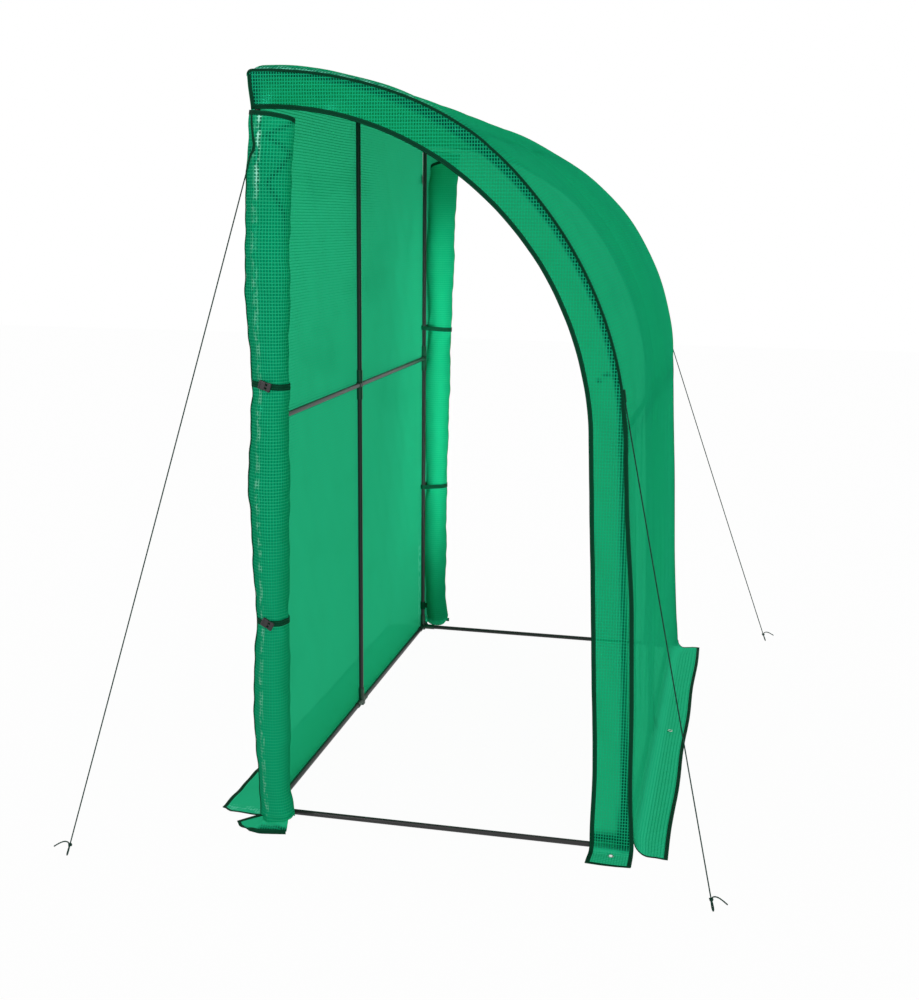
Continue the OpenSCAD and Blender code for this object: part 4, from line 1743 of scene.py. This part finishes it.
    def seam(self) -> Patch:
        """The binding of the wall seam, which the roll pulls round to its outer side."""
        z = np.linspace(0.035, self.sizes.height - self.sizes.strip_w - self.gap, 150)
        w = self.lead + np.interp(z, self.seam_heights, self.seam_turned)
        path = self.point(w, z)
        ahead = self.point(w + 0.004, z)
        across = unit(ahead - path)
        tangent = unit(np.gradient(path, axis=0))
        normal = unit(np.cross(across, tangent)) * -self.end.value
        across = np.cross(normal, tangent)
        return carry(path + normal * 0.0012, across, normal, flat_profile(0.0075, 0.0022))

    def build_flap(self) -> None:
        """Makes the flap that spreads on the ground from under the roll."""
        side = self.end.value
        across = np.linspace(0, 1, 34)[None]
        along = np.linspace(0, 1, 22)[:, None]
        front = smooth_step(across, 0.15, 0.45)
        start = np.stack([-0.010 + 0.090 * across, 0.895 + 0.060 * front], -1)
        rim = np.stack([np.interp(across, self.flap_parts, marks)
                        for marks in (self.flap_x, self.flap_y)], -1)
        flat = start + along[..., None] * (rim - start)
        waves = 0.0022 * np.sin(16 * across + 1.5) * np.sin(3.0 * along)
        waves = waves + 0.002 * along * across
        curl = front * (0.040 * (1 - along) ** 1.5 + 0.011 * smooth_step(along, 0.8, 1.0))
        high = 2 * GROUND + 0.007 * (1 - along) ** 2 + np.abs(waves) + curl
        grid = np.stack([flat[..., 0], side * flat[..., 1], high], -1)
        # Painted shade: rows of dark squares across the flap.
        rows = smooth_step(across, 0.38, 0.5) * hump(along, 0.72, 0.18, 4)
        patch = Patch(grid, flat, flipped=self.end is End.NEAR, pressed=0.9 * rows)
        label = self.end.label
        flap = join(f"curtain_flap_{label}", [patch], self.looks.cloth, Slot.CLOTH)
        if self.end is End.NEAR:
            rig.replaces(flap, "door_flaps")
        wide = 0.009 + 0.005 * front[0]
        upright = np.stack(np.broadcast_arrays(
            0.0, -0.005 * side * (1 - 0.7 * front[0]), -0.010 * front[0]), -1)
        bands = [edge_band(grid[-1], grid[-1] + upright, wide, 0.0014),
                 edge_band(grid[:, 0], grid[:, 2], 0.011, 0.0012)]
        binding = join(f"curtain_flap_binding_{label}", bands, self.looks.tape, Slot.WEBBING)
        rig.sheet(flap, self.flap_flat, "laid", [], with_pieces=[binding])


@dataclass(frozen=True)
class Straps:
    """The webbing straps round both rolls and their side-release buckles."""

    curtains: tuple[Curtain, Curtain]
    looks: Looks
    width: float = 0.016
    thickness: float = 0.0016
    tilt: float = 0.10
    body: tuple[float, float, float] = (0.019, 0.023, 0.0075)
    plug: tuple[float, float, float] = (0.010, 0.024, 0.0065)

    def loop(self, curtain: Curtain, height: float) -> tuple[Array, Array]:
        """A closed path round the roll and the post.

        In each direction, it takes the farthest point of the roll's outer turn and the
        post's circle, and adds half the strap's thickness and a small gap.

        Args:
            curtain: The roll.
            height: The strap's height.

        Returns:
            The path's points and its outward directions.
        """
        z = curtain.sizes
        turn = np.linspace(curtain.lead, curtain.lead + TAU * curtain.radius, 160)
        levels = height + np.array([-0.005, 0.0, 0.005])[:, None]
        outer = curtain.point(turn[None], levels).reshape(-1, 3)[:, :2]
        angle = circle(144)
        ways = np.stack([np.cos(angle), np.sin(angle)], -1)
        post = np.array([0.0, curtain.end.value * z.half_l]) + ways * (z.tube_r + 0.0015)
        points = np.concatenate([outer, post])
        hull = points[np.argmax(points @ ways.T, axis=0)] + ways * 0.0013
        middle = hull.mean(0)
        rise = -self.tilt * (hull[:, 0] - middle[0]) * (1 if height > 1 else 0.2)
        path = np.concatenate([hull, (height + rise)[:, None]], -1)
        return path, np.concatenate([ways, np.zeros((len(ways), 1))], -1)

    def buckle(self, curtain: Curtain, height: float, path: Array) -> list[Patch]:
        """The two halves of one buckle with its bars, on the roll's outer face.

        Args:
            curtain: The roll.
            height: The strap's height.
            path: The strap's path.

        Returns:
            Its parts.
        """
        side = curtain.end.value
        lean = math.radians(-17 if height > 1 else -27)
        along = np.array([math.cos(lean), 0.0, math.sin(lean)])
        out = unit(np.array([-0.10, side * 0.995, 0.0]))
        along = unit(along - out * float(along @ out))
        up = np.cross(out, along)
        axes = np.stack([along, up, out])
        if float(np.linalg.det(axes)) < 0:
            axes[1] = -axes[1]
        middle_x = path[:, 0].mean() + 0.010
        near = path[np.argmax(path[:, 1] * side)]
        centre = np.array([middle_x, near[1] + side * 0.0028, height])

        def part(offset: tuple[float, float, float], size: Sequence[float], corner: float) -> Patch:
            """One rounded block at an offset in the buckle's own directions."""
            return rounded_box(centre + np.asarray(offset) @ axes, axes, size, corner)

        prongs = [part((0.0050, across, 0.0), (0.013, 0.0042, 0.0052), 0.6)
                  for across in (-0.0088, 0.0088)]
        return [
            part((-0.0075, 0.0, 0.0), self.body, 0.3),
            part((0.0125, 0.0, 0.0), self.plug, 0.3),
            part((0.0035, 0.0, 0.0), (0.012, 0.0050, 0.0045), 0.4),
            part((-0.0125, 0.0, 0.0030), (0.0035, 0.020, 0.0035), 0.5),
            part((0.0165, 0.0, 0.0026), (0.0030, 0.021, 0.0030), 0.5),
            *prongs,
        ]

    def build(self) -> None:
        """Makes all the straps in one piece and all the buckles in another."""
        loops, buckles = [], []
        profile = flat_profile(self.width, self.thickness)
        for curtain in self.curtains:
            for height in curtain.sizes.strap_heights:
                path, out = self.loop(curtain, height)
                upright = np.broadcast_to([0.0, 0.0, 1.0], path.shape)
                loops.append(carry(path, upright, out, profile, closed=True))
                buckles += self.buckle(curtain, height, path)
        webbing = join("roll_straps", loops, self.looks.tape, Slot.WEBBING)
        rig.replaces(webbing, "door_straps")
        hard = join("side_release_buckles", buckles, self.looks.buckle, Slot.BUCKLE)
        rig.replaces(hard, "strap_buckles")


# --------------------------------------------------------------------------------------
# Ropes and eyelets
# --------------------------------------------------------------------------------------


@dataclass(frozen=True)
class GuyRope:
    """One taut rope from its tab to a knotted loop on the ground, with a stiff short tail.

    A wall rope's upper end also hangs a little way from its upper knot.
    """

    node: str
    looks: Looks
    radius: float = 0.0017
    lay: float = 0.012
    step: float = 0.0026
    knot: float = 0.0045
    loop_l: float = 0.030
    loop_w: float = 0.006
    ring_r: float = 0.0118
    tail: tuple[float, float, float] = (0.040, 0.010, -0.004)
    upper_end: tuple[float, float, float] = (-0.006, 0.003, -0.026)
    bow: float = 0.008
    sag: float = 0.004

    def strand(self, path: Array, closed: bool, up: Sequence[float]) -> Patch:
        """A length of three-strand rope, rolled once in each length of lay."""
        across, normal = frames_along(path, up, closed)
        run = run_along(path, closed)
        turns = run[:len(path)] / self.lay
        if closed:
            turns = turns * round(run[-1] / self.lay) * self.lay / run[-1]
        profile = round_profile(self.radius, 12, 0.13)
        return carry(path, across, normal, profile, closed, turn=-turns * TAU)

    def trefoil(self, centre: Array) -> Patch:
        """An overhand knot: (sin t + 2 sin 2t, cos t - 2 cos 2t, - sin 3t), scaled."""
        t = circle(96)
        shape = np.stack([np.sin(t) + 2 * np.sin(2 * t), np.cos(t) - 2 * np.cos(2 * t),
                          -1.4 * np.sin(3 * t)], -1)
        return self.strand(centre + shape * self.knot * 0.32, True, (0.0, 0.0, 1.0))

    def ends(self) -> tuple[Array, Array, Array]:
        """Where the rope runs, from its node's box.

        Returns:
            The knot at the tab, the loop's end on the ground and the signs of X and Y in
            which the rope runs outwards.
        """
        low, high = (np.array(corner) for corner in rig.box(self.node))
        sign = np.sign(low + high)[:2]
        inner = np.where(sign < 0, high[:2], low[:2])
        outer = np.where(sign < 0, low[:2], high[:2])
        top = np.array([*(inner + sign * self.knot), high[2] - self.knot + 0.008])
        if sign[0] > 0:
            top += [-0.011, 0.002 * sign[1], 0.004]
        run = unit(np.abs(outer - inner))
        return top, np.array([*(outer - sign * (self.ring_r * run + self.radius)), 0.0]), sign

    def taut(self, top: Array, knot: Array) -> Array:
        """The path between the knots, with a slight sag of half a wave."""
        part = np.linspace(0, 1, int(np.linalg.norm(top - knot) / self.step))[:, None]
        path = top + part * (knot - top)
        path[:, 2] -= self.sag * np.sin(math.pi * part[:, 0])
        return path

    def loop(self, ground: Array, knot: Array, beside: Array) -> Array:
        """The loop's path: an ellipse from the ground up, drawn to a point at the knot."""
        t = circle(72)
        low = ground + [0.0, 0.0, 1.2 * self.radius]
        along = 0.5 + 0.5 * np.cos(t)
        swing = self.loop_w / 2 * np.sin(t) * (1 - 0.5 * along)
        return low + (knot - low) * along[:, None] + beside * swing[:, None]

    def loose_end(self, knot: Array, sign: Array) -> Array:
        """The tail's path, which rises from the knot as a half wave and droops to its end."""
        u = np.linspace(0, 1, 24)[:, None]
        reach, rise, droop = self.tail
        path = knot + np.array([[sign[0], 0.25 * sign[1], 0.0]]) * reach * u
        path[:, 2] += (rise * np.sin(math.pi * u ** 0.6) + droop * u ** 2)[:, 0]
        return path

    def hanging(self, top: Array, sign: Array) -> Array:
        """The path of a wall rope's upper end, which bows outwards as it hangs."""
        u = np.linspace(0, 1, 24)[:, None]
        in_x, beside_y, down = self.upper_end
        path = top + [0.0, beside_y * sign[1], 0.0] + np.array([[in_x * sign[0], 0.0, down]]) * u
        path[:, 0] += self.bow * sign[0] * np.sin(math.pi * u[:, 0])
        return path

    def build(self) -> None:
        """Makes the rope with its knots, its loop and its ends."""
        top, ground, sign = self.ends()
        back = unit(top - ground)
        knot = ground + back * self.loop_l
        beside = unit(np.cross(back, [0.0, 0.0, 1.0]))
        parts = [
            self.strand(self.taut(top, knot), False, (0.0, 0.3, 1.0)),
            self.trefoil(top),
            self.trefoil(knot),
            self.strand(self.loop(ground, knot, beside), True, beside),
            self.strand(self.loose_end(knot, sign), False, (0.0, 1.0, 0.2)),
        ]
        if sign[0] < 0:
            parts.append(self.strand(self.hanging(top, sign), False, (0.0, 1.0, 0.0)))
        piece = join(f"{self.node}_twisted", parts, self.looks.rope, Slot.ROPE)
        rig.replaces(piece, self.node)


@dataclass(frozen=True)
class Eyelets:
    """Pressed eyelets with rolled rims, in the skirts and the strips' flaps."""

    looks: Looks
    centres: tuple[tuple[float, float], ...]
    hole_r: float = 0.0045
    rim_r: float = 0.0080
    rim_h: float = 0.0011

    def build(self) -> None:
        """Makes the eyelets, each a closed profile carried round a circle."""
        angle = circle(48)
        ways = np.stack([np.cos(angle), np.sin(angle), 0 * angle], -1)
        upright = np.broadcast_to([0.0, 0.0, 1.0], ways.shape)
        wide = (self.rim_r - self.hole_r) / 2
        part = np.linspace(0, math.pi, 9)
        dome = np.stack([wide * np.cos(part), self.rim_h * np.sin(part) ** 0.8], -1)
        sole = np.stack([np.linspace(-0.9, 0.9, 5) * wide, np.full(5, -0.0016)], -1)
        profile = np.concatenate([dome, sole])
        rings = []
        for x, y in self.centres:
            path = np.array([x, y, 3 * GROUND]) + ways * (self.hole_r + wide)
            rings.append(carry(path, ways, upright, profile, closed=True))
        piece = join("pressed_eyelets", rings, self.looks.metal, Slot.EYELET)
        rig.replaces(piece, "peg_eyelets")


# --------------------------------------------------------------------------------------
# Carried-over nodes, stage, lamps and camera
# --------------------------------------------------------------------------------------


def paint_nodes(frame: dict[str, Any], looks: Looks) -> None:
    """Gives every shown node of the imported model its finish, by its record's slot.

    Args:
        frame: The loaded frame.
        looks: The materials.
    """
    finishes = {
        Slot.TUBE: looks.tube, Slot.CONNECTOR: looks.connector, Slot.CLOTH: looks.cloth,
        Slot.WEBBING: looks.tape, Slot.BUCKLE: looks.buckle, Slot.EYELET: looks.metal,
        Slot.ROPE: looks.rope,
    }
    slots = {part["node"]: part["material_slot"] for part in frame["record"]["subparts"]}
    for name, node in frame["nodes"].items():
        node.data.materials.clear()
        node.data.materials.append(finishes[Slot(slots[name])])
        LOG.info("%s: %s", name, slots[name])


def link_new(name: str, data: bpy.types.ID) -> bpy.types.Object:
    """Makes an object of a light, a camera or a mesh that isn't part of the greenhouse."""
    made = bpy.data.objects.new(name, data)
    bpy.context.scene.collection.objects.link(made)
    return made


def turned(right: Array, up: Array, back: Array, place: Sequence[float]) -> Matrix:
    """The matrix of an object with those axes at that place."""
    turn = np.eye(4)
    turn[:3, 0], turn[:3, 1], turn[:3, 2], turn[:3, 3] = right, up, back, place
    return Matrix(turn.tolist())


@dataclass(frozen=True)
class Lamp:
    """One light at a place, turned to a point.

    An area lamp is a tall narrow rectangle, and its angle is how far it spreads. A sun's
    angle is how soft its shadows are. The unseen rays don't meet the lamp.
    """

    name: str
    kind: str
    energy: float
    angle: float
    place: tuple[float, float, float]
    aim: tuple[float, float, float]
    unseen: tuple[str, ...]
    width: float = 0.12
    height: float = 1.0

    def build(self) -> None:
        """Makes the lamp."""
        data = bpy.data.lights.new(self.name, self.kind)
        data.energy = self.energy
        if self.kind == "AREA":
            data.shape = "RECTANGLE"
            data.size, data.size_y = self.width, self.height
            data.spread = math.radians(self.angle)
        else:
            data.angle = math.radians(self.angle)
        lamp = link_new(self.name, data)
        for rays in self.unseen:
            setattr(lamp, f"visible_{rays}", False)
        back = unit(np.array(self.place) - np.array(self.aim))
        right = unit(np.cross([0.0, 0.0, 1.0], back))
        lamp.matrix_world = turned(right, np.cross(back, right), back, self.place)


@dataclass(frozen=True)
class Stage:
    """A white floor, a plain white world and three weak lamps.

    The soft lamp stands to the camera's left and leaves a sheen on the near roll. The fill
    reaches into the greenhouse from the camera's side. The inner lamp is turned to the far
    roll, which the cloth keeps in the shade.
    """

    reach: float = 14.0
    world: float = 0.72
    floor_colour: float = 0.80
    seen_white: float = 0.97
    lamps: tuple[Lamp, ...] = (
        Lamp("soft_lamp", "AREA", 45.0, 180.0, (-1.9, -4.6, 2.4), (0.1, -0.9, 1.1),
             ("diffuse",), height=2.4),
        Lamp("fill_light", "SUN", 1.35, 25.0, (2.25, -4.1, 1.7), (0.1, 0.1, 1.1), ("glossy",)),
        Lamp("inner_light", "AREA", 2.8, 24.0, (0.70, -0.72, 0.85), (0.08, 0.95, 1.0),
             ("glossy", "camera", "transmission"), height=1.25),
    )

    def white_for_camera(self) -> bpy.types.Material:
        """Plain white where the camera sees it, with a little of the object's shadow in it."""
        shader = Shader.of_material("white_floor")
        grey = (self.floor_colour,) * 3
        lit = shader.node("ShaderNodeBsdfDiffuse", {}, {"Color": (*grey, 1.0)})
        white = shader.node("ShaderNodeEmission", {}, {"Color": (1.0,) * 4, "Strength": 1.0})
        return shader.finish(shader.blend(shader.on_camera() * self.seen_white, lit, white))

    def build(self) -> None:
        """Makes the floor, the world and the lamps."""
        floor = self.plane()
        floor.data.materials.append(self.white_for_camera())
        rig.stage(floor)
        self.light_world()
        for lamp in self.lamps:
            lamp.build()

    def plane(self) -> bpy.types.Object:
        """The floor, a square with its middle under the greenhouse."""
        mesh = bpy.data.meshes.new("floor")
        r = self.reach
        mesh.from_pydata([(-r, -r, 0), (r, -r, 0), (r, r, 0), (-r, r, 0)], [], [(0, 1, 2, 3)])
        return link_new("floor", mesh)

    def light_world(self) -> None:
        """A plain white world, whose strength is 1 where the camera sees it."""
        shader = Shader(bpy.data.worlds.new("white_room"))
        glow = {"Color": (1.0, 1.0, 1.0, 1.0)}
        light = shader.node("ShaderNodeBackground", {}, glow | {"Strength": self.world})
        seen = shader.node("ShaderNodeBackground", {}, glow | {"Strength": 1.0})
        mixed = shader.blend(shader.on_camera(), light, seen)
        bpy.context.scene.world = shader.finish(mixed, WORLD_OUTPUT)


@dataclass(frozen=True)
class View:
    """The camera's place, lens and directions."""

    place: tuple[float, float, float] = (1.23345, -4.10766, 1.63689)
    right: tuple[float, float, float] = (0.976559, 0.215001, 0.010347)
    look: tuple[float, float, float] = (-0.208144, 0.955478, -0.209135)
    lens: float = 47.2075
    sensor: float = 36.0
    far: float = 60.0

    def build(self) -> None:
        """Makes the camera."""
        data = bpy.data.cameras.new("camera")
        data.lens = self.lens
        data.sensor_width = self.sensor
        data.clip_end = self.far
        camera = link_new("camera", data)
        look = unit(np.array(self.look))
        right = unit(np.array(self.right) - look * float(np.dot(self.right, look)))
        camera.matrix_world = turned(right, np.cross(right, look), -look, self.place)
        bpy.context.scene.camera = camera


def plain_box(corners: Sequence[Sequence[float]]) -> list[list[float]]:
    """A box's two corners as plain lists of numbers."""
    return [[float(part) for part in corner] for corner in corners]


@dataclass
class SizeLog:
    """The box of the carried-over CAD model, kept to be written beside the finished one."""

    path: str = "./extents.json"
    cad: list[list[float]] = field(default_factory=lambda: plain_box(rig.bounds()))

    def write(self) -> None:
        """Writes the kept box and the box of everything that stands now."""
        boxes = {"cad": self.cad, "whole": plain_box(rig.bounds())}
        with open(self.path, "w", encoding="utf-8") as out:
            json.dump(boxes, out, indent=1)


def make_looks() -> Looks:
    """Makes every material once."""
    green, pale = (0.0015, 0.026, 0.012), (0.003, 0.045, 0.022)
    black, grey = (0.006, 0.0055, 0.006), (0.014, 0.012, 0.013)
    return Looks(
        tube=TubeCoat().material(),
        connector=MouldedPlastic("moulded_green", green, pale).material(),
        # The roof's rim gets a line of painted highlight.
        cloth=GridCloth(worn=(WornLine(PAINTED_RIM_AT, 0.024, 0.42, 0.55, 1.2),)).material(),
        # The curtain's cloth is the same sheeting with its film painted brighter, as painted light scattered back by
        # the turns beneath it, and it lets less light through.
        curtain=GridCloth(name="curtain_cloth", thread_colour=(0.001, 0.345, 0.152),
                          film_colour=(0.001, 0.270, 0.119), film_through=0.36, film_clear=0.05,
                          worn_colour=(0.40, 0.88, 0.68), ribs=0.035,
                          # Two columns of painted highlight down the roll.
                          worn=(WornLine(0.113, 0.010, 1.0, 2.5, 0.40),
                                WornLine(0.120, 0.007, 1.75, 1.66, 1.0))).material(),
        tape=WovenTape().material(),
        buckle=MouldedPlastic("moulded_black", black, grey, 0.5).material(),
        metal=PressedMetal().material(),
        rope=BraidedRope().material(),
    )


def main() -> None:
    """Builds the greenhouse's looks piece by piece."""
    logging.basicConfig(level=logging.INFO, format="%(message)s")
    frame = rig.load()
    size_log = SizeLog()
    View().build()
    bpy.context.scene.view_settings.view_transform = "Standard"
    sizes = FrameSizes.measured()
    looks = make_looks()
    paint_nodes(frame, looks)
    pegs = [m["pos_m"] for m in frame["record"]["mounts"] if m["name"].startswith("peg_eyelet")]
    eyelets = tuple((p[0], p[1]) for p in pegs)
    cover = Cover(sizes, looks, eyelets)
    cover.build()
    curtains = (Curtain(sizes, looks, End.NEAR), Curtain(sizes, looks, End.FAR))
    for end, curtain in zip(End, curtains):
        EndFrame(cover, end).build()
        curtain.build()
    Straps(curtains, looks).build()
    ropes = [name for name in frame["nodes"] if name.startswith("guy_rope")]
    for name in sorted(ropes):
        GuyRope(name, looks).build()
    Eyelets(looks, eyelets).build()
    Stage().build()
    size_log.write()


if __name__ == "__main__":
    main()
